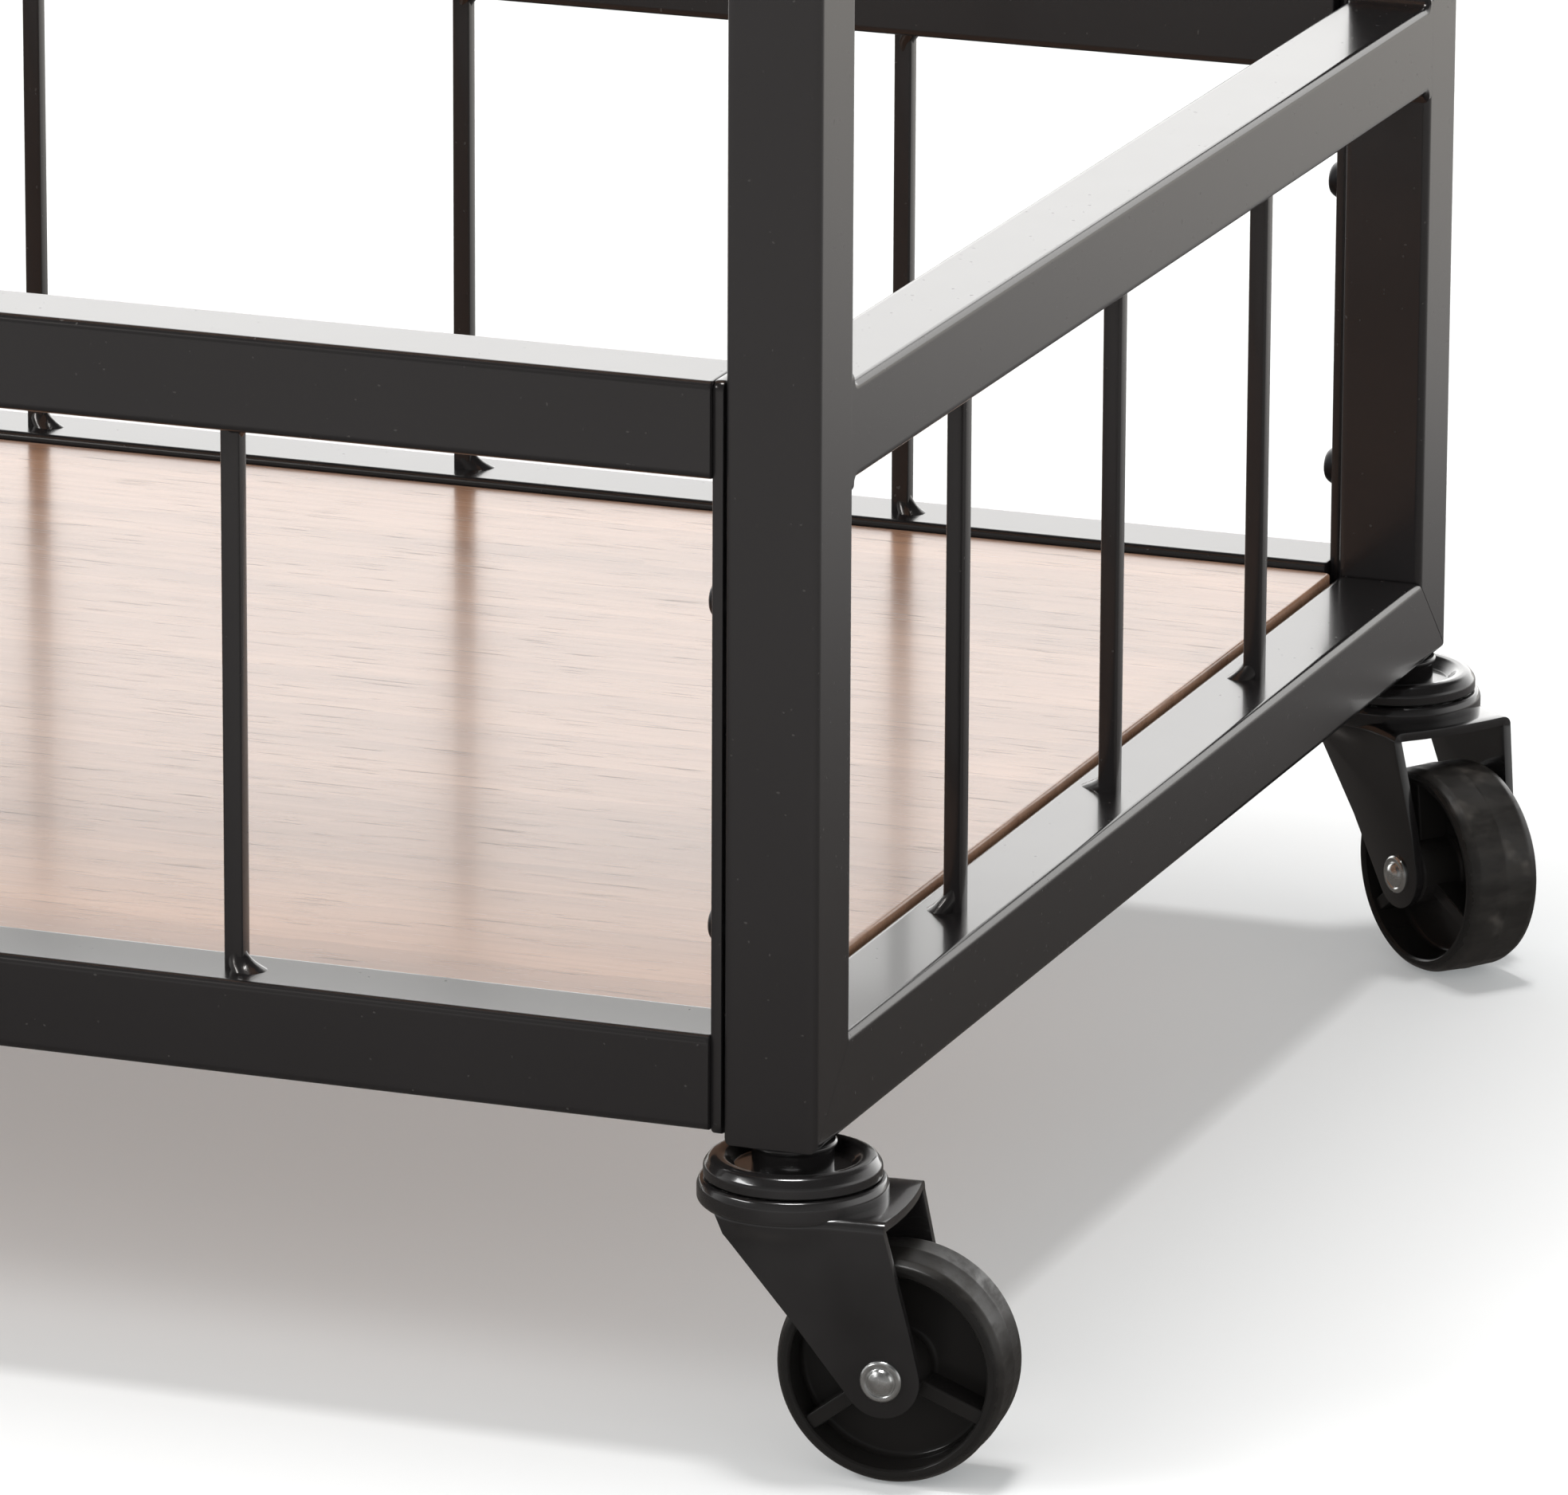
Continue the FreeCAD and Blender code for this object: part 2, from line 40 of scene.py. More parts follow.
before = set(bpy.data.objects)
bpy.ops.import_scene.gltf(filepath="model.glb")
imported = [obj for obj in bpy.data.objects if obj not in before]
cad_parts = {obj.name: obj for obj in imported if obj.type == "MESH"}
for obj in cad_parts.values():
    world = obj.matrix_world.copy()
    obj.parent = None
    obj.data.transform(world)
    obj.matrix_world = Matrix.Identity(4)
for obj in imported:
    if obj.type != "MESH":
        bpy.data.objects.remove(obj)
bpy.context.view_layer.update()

X, Y, Z = 0, 1, 2
MM = 0.001
SUPPORT = 0.4 * MM                      # width of the flat strip that keeps a long face's shading flat
SIDES = ("front", "rear")
ENDS = ("left", "right")
TIERS = ("lower", "upper")
CORNERS = [side + "_" + end for side in SIDES for end in ENDS]
CASTER_TURNS = {"front_right": 5.0, "rear_right": -38.0, "front_left": 175.0, "rear_left": 218.0}


# ---------------------------------------------------------------- node trees

class Wire:
    """An output socket; arithmetic on it adds Math nodes to its tree."""

    def __init__(self, book, socket):
        self.book, self.socket = book, socket

    def maths(self, operation, *values):
        return self.book.node("ShaderNodeMath", {"operation": operation}, dict(enumerate(values)))

    def band(self, low, high):
        """0 below low, 1 above high, and a smooth step between."""
        return self.book.node("ShaderNodeMapRange", {"interpolation_type": "SMOOTHSTEP"},
                              {"Value": self, "From Min": low, "From Max": high})


def operator_pair(operation):
    """The methods for an arithmetic operator and for its reflected form."""
    return (lambda self, other: self.maths(operation, self, other),
            lambda self, other: self.maths(operation, other, self))


for symbol in ("add", "subtract", "multiply", "divide", "power"):
    short = {"divide": "truediv", "power": "pow"}.get(symbol, symbol[:3])
    plain, reflected = operator_pair(symbol.upper())
    setattr(Wire, "__" + short + "__", plain)
    setattr(Wire, "__r" + short + "__", reflected)


class Book:
    """Writes nodes into a shader, world or geometry tree."""

    def __init__(self, tree):
        self.tree = tree

    def node(self, kind, settings=None, sockets=None, output=0):
        made = self.tree.nodes.new(kind)
        for key, value in (settings or {}).items():
            setattr(made, key, value)
        for key, value in (sockets or {}).items():
            socket = made.inputs[key]
            if isinstance(value, Wire):
                self.tree.links.new(value.socket, socket)
            else:
                socket.default_value = value
        return Wire(self, made.outputs[output]) if made.outputs else made

    def blend(self, factor, first, second):
        """Mix of two colours."""
        return self.node("ShaderNodeMix", {"data_type": "RGBA"}, {0: factor, 6: first, 7: second}, output=2)

    def noise(self, place, scale, detail=2.0, roughness=0.5, distortion=0.0):
        return self.node("ShaderNodeTexNoise", None,
                         {"Vector": place, "Scale": scale, "Detail": detail,
                          "Roughness": roughness, "Distortion": distortion})

    def stretched(self, place, scale):
        return self.node("ShaderNodeMapping", None, {"Vector": place, "Scale": scale})

    def split(self, vector):
        """The X, Y and Z of a vector."""
        made = self.node("ShaderNodeSeparateXYZ", None, {0: vector})
        return [Wire(self, socket) for socket in made.socket.node.outputs]

    def glossy_ray(self):
        """1 for rays from a mirror-like reflection, else 0."""
        return Wire(self, self.node("ShaderNodeLightPath").socket.node.outputs["Is Glossy Ray"])

    def bump(self, strength, distance, height):
        return self.node("ShaderNodeBump", None,
                         {"Strength": strength, "Distance": distance, "Height": height})


def shade(colour):
    return (*colour[:3], 1.0)


def new_finish(name, colour, roughness, **constants):
    """Principled material with its object coordinates; constants go on the shader's sockets."""
    material = bpy.data.materials.new("cart_" + name)
    material.use_nodes = True
    book = Book(material.node_tree)
    shader = material.node_tree.nodes["Principled BSDF"]
    shader.inputs["Base Color"].default_value = shade(colour)
    shader.inputs["Roughness"].default_value = roughness
    for key, value in constants.items():
        shader.inputs[key.replace("_", " ")].default_value = value
    place = book.node("ShaderNodeTexCoord", None, None, output=3)
    return material, book, shader, place


def feed(book, shader, **links):
    for key, wire in links.items():
        book.tree.links.new(wire.socket, shader.inputs[key.replace("_", " ")])


def frame_paint():
    """Charcoal powder coat: satin gloss, fine orange peel and a few specks of dust."""
    look = bpy.context.scene.cart_finishes
    material, book, shader, place = new_finish(
        "frame_paint", look.frame_colour, look.frame_roughness, Specular_Tint=(1.0, 0.95, 0.90, 1.0),
        Coat_Weight=0.3, Coat_Roughness=0.09, IOR=1.5)
    peel = book.noise(place, 620.0, 1.5, 0.4)
    cloud = book.noise(place, 9.0, 3.0, 0.55)
    streak = book.noise(book.stretched(place, (14.0, 14.0, 3.0)), 6.0, 3.0)
    speck = book.noise(place, 900.0, 0.0).band(0.84, 0.87)
    colour = book.blend(cloud.band(0.3, 0.7), shade(look.frame_colour),
                        shade([c * 1.18 for c in look.frame_colour]))
    colour = book.blend(speck * 0.25, colour, (0.10, 0.095, 0.09, 1.0))
    rough = look.frame_roughness - 0.02 + cloud * 0.03 + streak * 0.02 + speck * 0.2
    bump = book.bump(0.06, 0.03 * MM, peel + speck * 2.0)
    feed(book, shader, Base_Color=colour, Roughness=rough, Normal=bump)
    return material


def shelf_walnut():
    """Lacquered walnut veneer with the grain along the shelf."""
    look = bpy.context.scene.cart_finishes
    material, book, shader, place = new_finish(
        "shelf_walnut", look.wood_colour, 0.24, Coat_Weight=0.1, Coat_Roughness=0.08, IOR=1.5)
    drift = book.noise(book.stretched(place, (1.6, 7.0, 7.0)), 3.2, 3.0, 0.5, 0.4)
    waves = book.node("ShaderNodeTexWave",
                      {"wave_type": "BANDS", "bands_direction": "Y", "wave_profile": "SAW"},
                      {"Vector": book.stretched(place, (0.9, 5.5, 5.5)), "Scale": 2.4, "Distortion": 9.0,
                       "Detail": 4.0, "Detail Scale": 0.9, "Detail Roughness": 0.62})
    fibre = book.noise(book.stretched(place, (5.0, 150.0, 150.0)), 3.0, 4.0, 0.6)
    pores = book.noise(book.stretched(place, (26.0, 520.0, 520.0)), 2.2, 2.0, 0.6).band(0.58, 0.72)
    light, dark = shade(look.wood_colour), shade([c * f for c, f in zip(look.wood_colour, (0.50, 0.44, 0.40))])
    colour = book.blend(waves * 0.30 + drift.band(0.35, 0.75) * 0.50, light, dark)
    colour = book.blend(fibre.band(0.38, 0.72) * 0.34, colour, dark)
    colour = book.blend(pores * 0.55, colour, (0.10, 0.05, 0.028, 1.0))
    rough = 0.20 + fibre * 0.06 + pores * 0.12
    bump = book.bump(0.04, 0.06 * MM, fibre * 0.15 - pores * 0.6)
    feed(book, shader, Base_Color=colour, Roughness=rough, Normal=bump)
    return material


def caster_enamel():
    """Thick black gloss enamel on the pressed caster parts."""
    look = bpy.context.scene.cart_finishes
    material, book, shader, place = new_finish(
        "caster_enamel", look.enamel_colour, 0.2, Coat_Weight=0.6, Coat_Roughness=0.05, IOR=1.5)
    flow = book.noise(place, 130.0, 2.0, 0.5)
    cloud = book.noise(place, 26.0, 3.0, 0.6)
    colour = book.blend(cloud.band(0.35, 0.7), shade(look.enamel_colour),
                        shade([c * 1.6 + 0.002 for c in look.enamel_colour]))
    bump = book.bump(0.55, 0.07 * MM, flow)
    feed(book, shader, Base_Color=colour, Roughness=0.14 + cloud * 0.12, Normal=bump)
    return material


def wheel_plastic():
    """Moulded black plastic, satin on the faces and scuffed grey on the tread."""
    look = bpy.context.scene.cart_finishes
    material, book, shader, place = new_finish(
        "wheel_plastic", look.wheel_colour, 0.24, IOR=1.5, Specular_IOR_Level=0.26)
    tread = book.node("ShaderNodeAttribute", {"attribute_name": "tread"}, None, output=2)
    smear = book.noise(book.stretched(place, (60.0, 60.0, 200.0)), 1.6, 4.0, 0.62)
    patch = book.noise(place, 70.0, 3.0, 0.6)
    grain = book.noise(place, 1400.0, 1.0, 0.5)
    worn = tread * (0.35 + smear.band(0.38, 0.7) * 0.65)
    colour = book.blend(worn * 0.8, shade(look.wheel_colour), (0.026, 0.023, 0.020, 1.0))
    colour = book.blend(tread * patch.band(0.58, 0.74) * 0.35, colour, (0.14, 0.125, 0.11, 1.0))
    rough = 0.17 + worn * 0.40 + patch * 0.06
    bump = book.bump(0.5, 0.04 * MM, grain * 0.5 + patch * tread * 1.4)
    feed(book, shader, Base_Color=colour, Roughness=rough, Normal=bump)
    return material


def metal(name, colour, roughness, scratch):
    """Plated or oxided metal with turning marks and dull patches."""
    material, book, shader, place = new_finish(name, colour, roughness, Metallic=1.0)
    patch = book.noise(place, 240.0, 3.0, 0.6)
    marks = book.noise(place, 1900.0, 2.0, 0.6)
    tint = book.blend(patch.band(0.3, 0.75), shade([c * 0.78 for c in colour]), shade(colour))
    bump = book.bump(scratch, 0.03 * MM, marks + patch)
    feed(book, shader, Base_Color=tint, Roughness=roughness - 0.05 + patch * 0.14, Normal=bump)
    return material


FINISHES = {
    "frame_paint": frame_paint,
    "shelf_walnut": shelf_walnut,
    "caster_enamel": caster_enamel,
    "wheel_plastic": wheel_plastic,
    "axle_zinc": lambda: metal("axle_zinc", (0.78, 0.79, 0.78), 0.24, 0.25),
    "plain_zinc": lambda: metal("plain_zinc", (0.56, 0.57, 0.58), 0.36, 0.4),
    "bearing_steel": lambda: metal("bearing_steel", (0.50, 0.50, 0.51), 0.16, 0.1),
    "bolt_black": lambda: metal("bolt_black", (0.035, 0.034, 0.036), 0.34, 0.4),
}


def finish(name):
    return bpy.data.materials.get("cart_" + name) or FINISHES[name]()


# ---------------------------------------------------------------- mesh helpers

def loft(rings):
    """Closed skin over rings of equal length with a flat cap on each end."""
    bm = bmesh.new()
    loops = [[bm.verts.new(p) for p in ring] for ring in rings]
    for near, far in zip(loops, loops[1:]):
        for i, vertex in enumerate(near):
            j = (i + 1) % len(near)
            bm.faces.new((vertex, near[j], far[j], far[i]))
    bm.faces.new(loops[0][::-1])
    bm.faces.new(loops[-1])
    bmesh.ops.recalc_face_normals(bm, faces=bm.faces)
    return bm


def rounded(points, steps=5):
    """Polyline whose corners are rounded: each point is (a, b) or (a, b, radius)."""
    out = []
    for i, point in enumerate(points):
        here = Vector(point[:2])
        if len(point) < 3 or i in (0, len(points) - 1):
            out.append(tuple(here))
            continue
        back, ahead = Vector(points[i - 1][:2]) - here, Vector(points[i + 1][:2]) - here
        half = back.angle(ahead) / 2
        reach = min(point[2] / math.tan(half), back.length * 0.49, ahead.length * 0.49)
        radius = reach * math.tan(half)
        centre = here + (back.normalized() + ahead.normalized()).normalized() * (radius / math.sin(half))
        start, end = here + back.normalized() * reach - centre, here + ahead.normalized() * reach - centre
        sweep = start.angle_signed(end)
        for k in range(steps + 1):
            turn = Matrix.Rotation(-sweep * k / steps, 2)
            out.append(tuple(centre + turn @ start))
    return out


def revolve(outline, steps=64, closed=False):
    """Turned solid about +Z from (radius, height) pairs; closed joins the last pair to the first."""
    bm = bmesh.new()
    rows = []
    for radius, height in outline:
        if radius < 1e-7:
            rows.append([bm.verts.new((0, 0, height))])
        else:
            rows.append([bm.verts.new((radius * math.cos(2 * math.pi * k / steps),
                                       radius * math.sin(2 * math.pi * k / steps), height))
                         for k in range(steps)])
    pairs = list(zip(rows, rows[1:])) + ([(rows[-1], rows[0])] if closed else [])
    for low, high in pairs:
        for k in range(steps):
            n = (k + 1) % steps
            if len(low) == 1:
                bm.faces.new((low[0], high[n], high[k]))
            elif len(high) == 1:
                bm.faces.new((low[k], low[n], high[0]))
            else:
                bm.faces.new((low[k], low[n], high[n], high[k]))
    bmesh.ops.recalc_face_normals(bm, faces=bm.faces)
    return bm


def section(half_u, half_v, radius, steps=5, support=0.25 * MM):
    """Square section with round corners and a support point just inside each flat."""
    points = []
    for k, (su, sv) in enumerate(((1, 1), (-1, 1), (-1, -1), (1, -1))):
        cu, cv = su * (half_u - radius), sv * (half_v - radius)
        first, last = math.radians(90 * k), math.radians(90 * k + 90)
        at = lambda a: (cu + radius * math.cos(a), cv + radius * math.sin(a))
        lead, trail = at(first), at(last)
        points.append((lead[0] + support * math.sin(first), lead[1] - support * math.cos(first)))
        points += [at(first + (last - first) * s / steps) for s in range(steps + 1)]
        points.append((trail[0] - support * math.sin(last), trail[1] + support * math.cos(last)))
    return points


def set_point(axis, along, u_axis, u, v_axis, v):
    point = [0.0, 0.0, 0.0]
    point[axis], point[u_axis], point[v_axis] = along, u, v
    return point


def add_to(bm, other):
    """Adds another bmesh to bm and frees it."""
    spare = bpy.data.meshes.new("spare")
    other.to_mesh(spare)
    other.free()
    bm.from_mesh(spare)
    bpy.data.meshes.remove(spare)


def as_mesh(bm, name="caster_source"):
    mesh = bpy.data.meshes.new(name)
    bm.to_mesh(mesh)
    bm.free()
    return mesh


def piece(name, bm, finish_name):
    """Mesh object at the origin with its finish."""
    return dress(bpy.data.objects.new(name, as_mesh(bm, name)), finish_name)


def dress(made, finish_name, sharp=32.0):
    """Finish and smooth shading, with a sharp edge wherever faces turn by more than so many degrees."""
    mesh = made.data
    mesh.materials.clear()
    mesh.materials.append(finish(finish_name))
    mesh.shade_smooth()
    mesh.set_sharp_from_angle(angle=math.radians(sharp))
    if made.name not in bpy.context.scene.collection.objects:
        bpy.context.scene.collection.objects.link(made)
    return made


def hand_over(made, body, node):
    """Ride on a body and stand for the CAD node."""
    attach(made, body)
    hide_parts(node)


def frame_piece(name, bm, slot, node):
    """A piece that stays with the frame and stands for one node."""
    hand_over(piece(name, bm, slot), "cart_frame", node)


def applied(made):
    """Replaces a piece's mesh by its evaluated one and drops its modifiers."""
    bpy.context.view_layer.update()
    graph = bpy.context.evaluated_depsgraph_get()
    mesh = bpy.data.meshes.new_from_object(made.evaluated_get(graph), depsgraph=graph)
    made.modifiers.clear()
    old, made.data = made.data, mesh
    bpy.data.meshes.remove(old)
    return made


# ---------------------------------------------------------------- geometry trees

def new_tree(name, sockets):
    tree = bpy.data.node_groups.new(name, "GeometryNodeTree")
    for label, kind in sockets:
        tree.interface.new_socket(name=label, in_out="INPUT", socket_type="NodeSocket" + kind)
    tree.interface.new_socket(name="Geometry", in_out="OUTPUT", socket_type="NodeSocketGeometry")
    entry, leave = tree.nodes.new("NodeGroupInput"), tree.nodes.new("NodeGroupOutput")
    book = Book(tree)
    given = {label: Wire(book, entry.outputs[label]) for label, _ in sockets}
    return tree, book, given, leave


def realized(book, parts):
    """The parts joined, with their instances made real."""
    join = book.tree.nodes.new("GeometryNodeJoinGeometry")
    for part in parts:
        book.tree.links.new(part.socket, join.inputs[0])
    return book.node("GeometryNodeRealizeInstances", None, {0: Wire(book, join.outputs[0])})


def close_tree(book, parts, material, leave):
    """Join, realize, set the material and end the tree."""
    done = book.node("GeometryNodeSetMaterial", None,
                     {"Geometry": realized(book, parts), "Material": material})
    book.tree.links.new(done.socket, leave.inputs[0])


def grow(name, mesh, tree, values):
    """Object whose mesh a geometry tree makes; values are set by socket identifier."""
    made = bpy.data.objects.new(name, mesh)
    bpy.context.scene.collection.objects.link(made)
    modifier = made.modifiers.new(tree.name, "NODES")
    modifier.node_group = tree
    for item in tree.interface.items_tree:
        if item.in_out == "INPUT" and item.name in values:
            modifier[item.identifier] = values[item.name]
    return applied(made)


def rod_tree():
    """A row of square rods between two rails with an uneven weld bead at each foot and head."""
    if "Rod Row" in bpy.data.node_groups:
        return bpy.data.node_groups["Rod Row"]
    tree, book, given, leave = new_tree("Rod Row", [
        ("Count", "Int"), ("First", "Vector"), ("Step", "Vector"), ("Height", "Float"),
        ("Section", "Float"), ("Corner", "Float"), ("Bead Width", "Float"), ("Bead Height", "Float"),
        ("Unevenness", "Float"), ("Lean", "Float"), ("Seed", "Int"), ("Finish", "Material")])
    feet = book.node("GeometryNodeMeshLine", {"mode": "OFFSET"},
                     {"Count": given["Count"], "Start Location": given["First"], "Offset": given["Step"]})
    lift = book.node("ShaderNodeCombineXYZ", None, {"Z": given["Height"]})
    heads = book.node("GeometryNodeSetPosition", None, {"Geometry": feet, "Offset": lift})
    line = book.node("GeometryNodeCurvePrimitiveLine", None, {"Start": (0, 0, 0), "End": lift})
    square = book.node("GeometryNodeCurvePrimitiveQuadrilateral", None,
                       {"Width": given["Section"], "Height": given["Section"]})
    square = book.node("GeometryNodeFilletCurve", None, {"Curve": square, "Radius": given["Corner"]})
    square.socket.node.mode = "POLY"
    square.socket.node.inputs["Count"].default_value = 3
    rod = book.node("GeometryNodeCurveToMesh", None,
                    {"Curve": line, "Profile Curve": square, "Fill Caps": True})
    rods = book.node("GeometryNodeInstanceOnPoints", None, {"Points": feet, "Instance": rod})

    drum = book.node("GeometryNodeMeshCylinder", None,
                     {"Vertices": 26, "Side Segments": 9, "Radius": 1.0, "Depth": given["Bead Height"]})
    across, along, up = book.split(book.node("GeometryNodeInputPosition"))
    share = up / given["Bead Height"] + 0.5
    waist = given["Section"] * 0.46
    spread = (1 - share) ** 1.7
    girth = waist + (given["Bead Width"] * 0.5 - waist) * spread
    shape = book.node("ShaderNodeCombineXYZ", None,
                      {"X": (across + 0.85 * spread) * girth, "Y": along * girth * 0.92,
                       "Z": share * given["Bead Height"]})
    bead = book.node("GeometryNodeSetPosition", None, {"Geometry": drum, "Position": shape})

    beads = []
    for row, tip, step in ((feet, 0.0, 0), (heads, math.pi, 1)):
        spin = book.node("FunctionNodeRandomValue", {"data_type": "FLOAT"},
                         {2: -0.5, 3: 0.5, 8: given["Seed"] + step}, output=1) + given["Lean"]
        size = book.node("FunctionNodeRandomValue", {"data_type": "FLOAT_VECTOR"},
                         {0: (0.86, 0.86, 0.85), 1: (1.10, 1.10, 1.25), 8: given["Seed"] + step + 7}, output=0)
        turned = book.node("FunctionNodeEulerToRotation", None,
                           {0: book.node("ShaderNodeCombineXYZ", None, {"X": tip, "Y": 0.0, "Z": spin})})
        beads.append(book.node("GeometryNodeInstanceOnPoints", None,
                               {"Points": row, "Instance": bead, "Rotation": turned, "Scale": size}))
    laid = realized(book, beads)
    shake = book.node("ShaderNodeTexNoise", {"noise_dimensions": "4D"},
                      {"Vector": book.node("GeometryNodeInputPosition"), "W": given["Seed"] * 3.7,
                       "Scale": 190.0, "Detail": 1.0}, output=1)
    push = book.node("ShaderNodeVectorMath", {"operation": "SUBTRACT"}, {0: shake, 1: (0.5, 0.5, 0.5)})
    push = book.node("ShaderNodeVectorMath", {"operation": "MULTIPLY"}, {0: push, 1: (1.0, 1.0, 0.0)})
    push = book.node("ShaderNodeVectorMath", {"operation": "SCALE"}, {0: push, "Scale": given["Unevenness"]})
    laid = book.node("GeometryNodeSetPosition", None, {"Geometry": laid, "Offset": push})
    close_tree(book, [rods, laid], given["Finish"], leave)
    return tree


def places_tree():
    """Copies of one piece at the vertices of a mesh, turned by its "turn" attribute, beside a body."""
    if "Pieces at Places" in bpy.data.node_groups:
        return bpy.data.node_groups["Pieces at Places"]
    tree, book, given, leave = new_tree("Pieces at Places", [
        ("Places", "Geometry"), ("Piece", "Object"), ("Body", "Object"), ("Finish", "Material")])
    source, body = [
        Wire(book, book.node("GeometryNodeObjectInfo", None, {"Object": given[label]})
             .socket.node.outputs["Geometry"]) for label in ("Piece", "Body")]
    turn = book.node("GeometryNodeInputNamedAttribute", {"data_type": "FLOAT_VECTOR"}, {"Name": "turn"})
    turned = book.node("FunctionNodeEulerToRotation", None, {0: turn})
    copies = book.node("GeometryNodeInstanceOnPoints", None,
                       {"Points": given["Places"], "Instance": source, "Rotation": turned})
    close_tree(book, [copies, body], given["Finish"], leave)
    return tree


def set_at(name, source, places, finish_name, body=None, sharp=32.0):
    """Geometry-tree copies of a source bmesh at (point, euler turn) places."""
    mesh = bpy.data.meshes.new(name)
    mesh.from_pydata([p for p, _ in places], [], [])
    turns = mesh.attributes.new("turn", "FLOAT_VECTOR", "POINT")
    turns.data.foreach_set("vector", [c for _, t in places for c in t])
    one = piece(name + "_source", source, finish_name)
    values = {"Piece": one, "Finish": finish(finish_name)}
    spares = [one]
    if body is not None:
        values["Body"] = piece(name + "_body", body, finish_name)
        spares.append(values["Body"])
    made = grow(name, mesh, places_tree(), values)
    for spare in spares:
        data = spare.data
        bpy.data.objects.remove(spare)
        bpy.data.meshes.remove(data)
    return dress(made, finish_name, sharp)


def frame_set(node, source, places, slot, sharp=32.0):
    """Copies that stay with the frame and stand for one node."""
    hand_over(set_at(node + "_set", source, places, slot, sharp=sharp), "cart_frame", node)


# ---------------------------------------------------------------- settings

def length(name, description, millimetres):
    return bpy.props.FloatProperty(name=name, description=description, default=millimetres * MM,
                                   unit="LENGTH", subtype="DISTANCE", precision=4)


def angle(name, description, degrees):
    return bpy.props.FloatProperty(name=name, description=description, default=math.radians(degrees),
                                   subtype="ANGLE")


def tone(name, description, colour):
    return bpy.props.FloatVectorProperty(name=name, description=description, default=colour,
                                         subtype="COLOR", size=3, min=0.0, max=1.0)


class CART_PG_frame(bpy.types.PropertyGroup):
    corner: length("Tube Corner", "Outer corner radius of the square tube", 1.6)
    seam: length("Seam", "Width left by grinding at a mitre", 0.14)
    fillet: length("Weld Fillet", "Radius of the weld where a rail meets a post", 2.4)
    plate: length("End Plate", "Thickness of the plates that close the long-side panels", 2.4)


class CART_PG_rods(bpy.types.PropertyGroup):
    section: length("Rod", "Side of the square gallery rods", 4.2)
    corner: length("Rod Corner", "Corner radius of the rods", 0.6)
    panel_pitch: length("Panel Pitch", "Distance between rods of the long sides", 110.0)
    end_pitch: length("End Pitch", "Distance between rods of the ends", 97.6)
    bead_width: length("Bead Width", "Width of the weld bead on the rail", 7.4)
    bead_height: length("Bead Height", "How far the weld bead climbs the rod", 4.8)
    unevenness: length("Unevenness", "How far a bead strays from round", 1.6)


class CART_PG_shelf(bpy.types.PropertyGroup):
    easing: length("Edge Easing", "Radius sanded on the board edges", 0.6)
    screw_head: length("Screw Head", "Radius of the pan heads under the boards", 3.5)


class CART_PG_caster(bpy.types.PropertyGroup):
    wheel: length("Wheel Radius", "Height of the axle, which is the radius over the tread", 24.0)
    trail: length("Trail", "Wheel axle behind the swivel axis", 22.5)
    fork: length("Fork Half Width", "Half the width over the fork legs", 14.2)
    sheet: length("Fork Sheet", "Thickness of the pressed fork", 2.0)


class CART_PG_finishes(bpy.types.PropertyGroup):
    frame_colour: tone("Frame", "Powder coat colour", (0.0085, 0.0078, 0.0082))
    frame_roughness: bpy.props.FloatProperty(
        name="Frame Roughness", description="Gloss of the powder coat", min=0.02, max=1.0, default=0.23)
    wood_colour: tone("Wood", "Lightest colour of the veneer", (0.51, 0.30, 0.195))
    enamel_colour: tone("Enamel", "Caster enamel colour", (0.0065, 0.006, 0.006))
    wheel_colour: tone("Wheel", "Wheel plastic colour", (0.010, 0.0093, 0.0088))


class CART_PG_stage(bpy.types.PropertyGroup):
    lens: bpy.props.FloatProperty(
        name="Lens", description="Focal length on a 36 mm sensor", default=282.37, unit="CAMERA")
    azimuth: angle("Azimuth", "Camera turn about the cart", 20.6207)
    elevation: angle("Elevation", "Camera height angle", 15.8499)
    roll: angle("Roll", "Camera roll", 0.2708)
    position: bpy.props.FloatVectorProperty(
        name="Position", description="Camera position", subtype="TRANSLATION", unit="LENGTH", size=3,
        default=(1.226147, -2.408156, 0.821111))


# ---------------------------------------------------------------- frame

def far_face(low, high, axis):
    """The face of a box farther from the middle of the cart."""
    return high[axis] if high[axis] + low[axis] > 0 else low[axis]


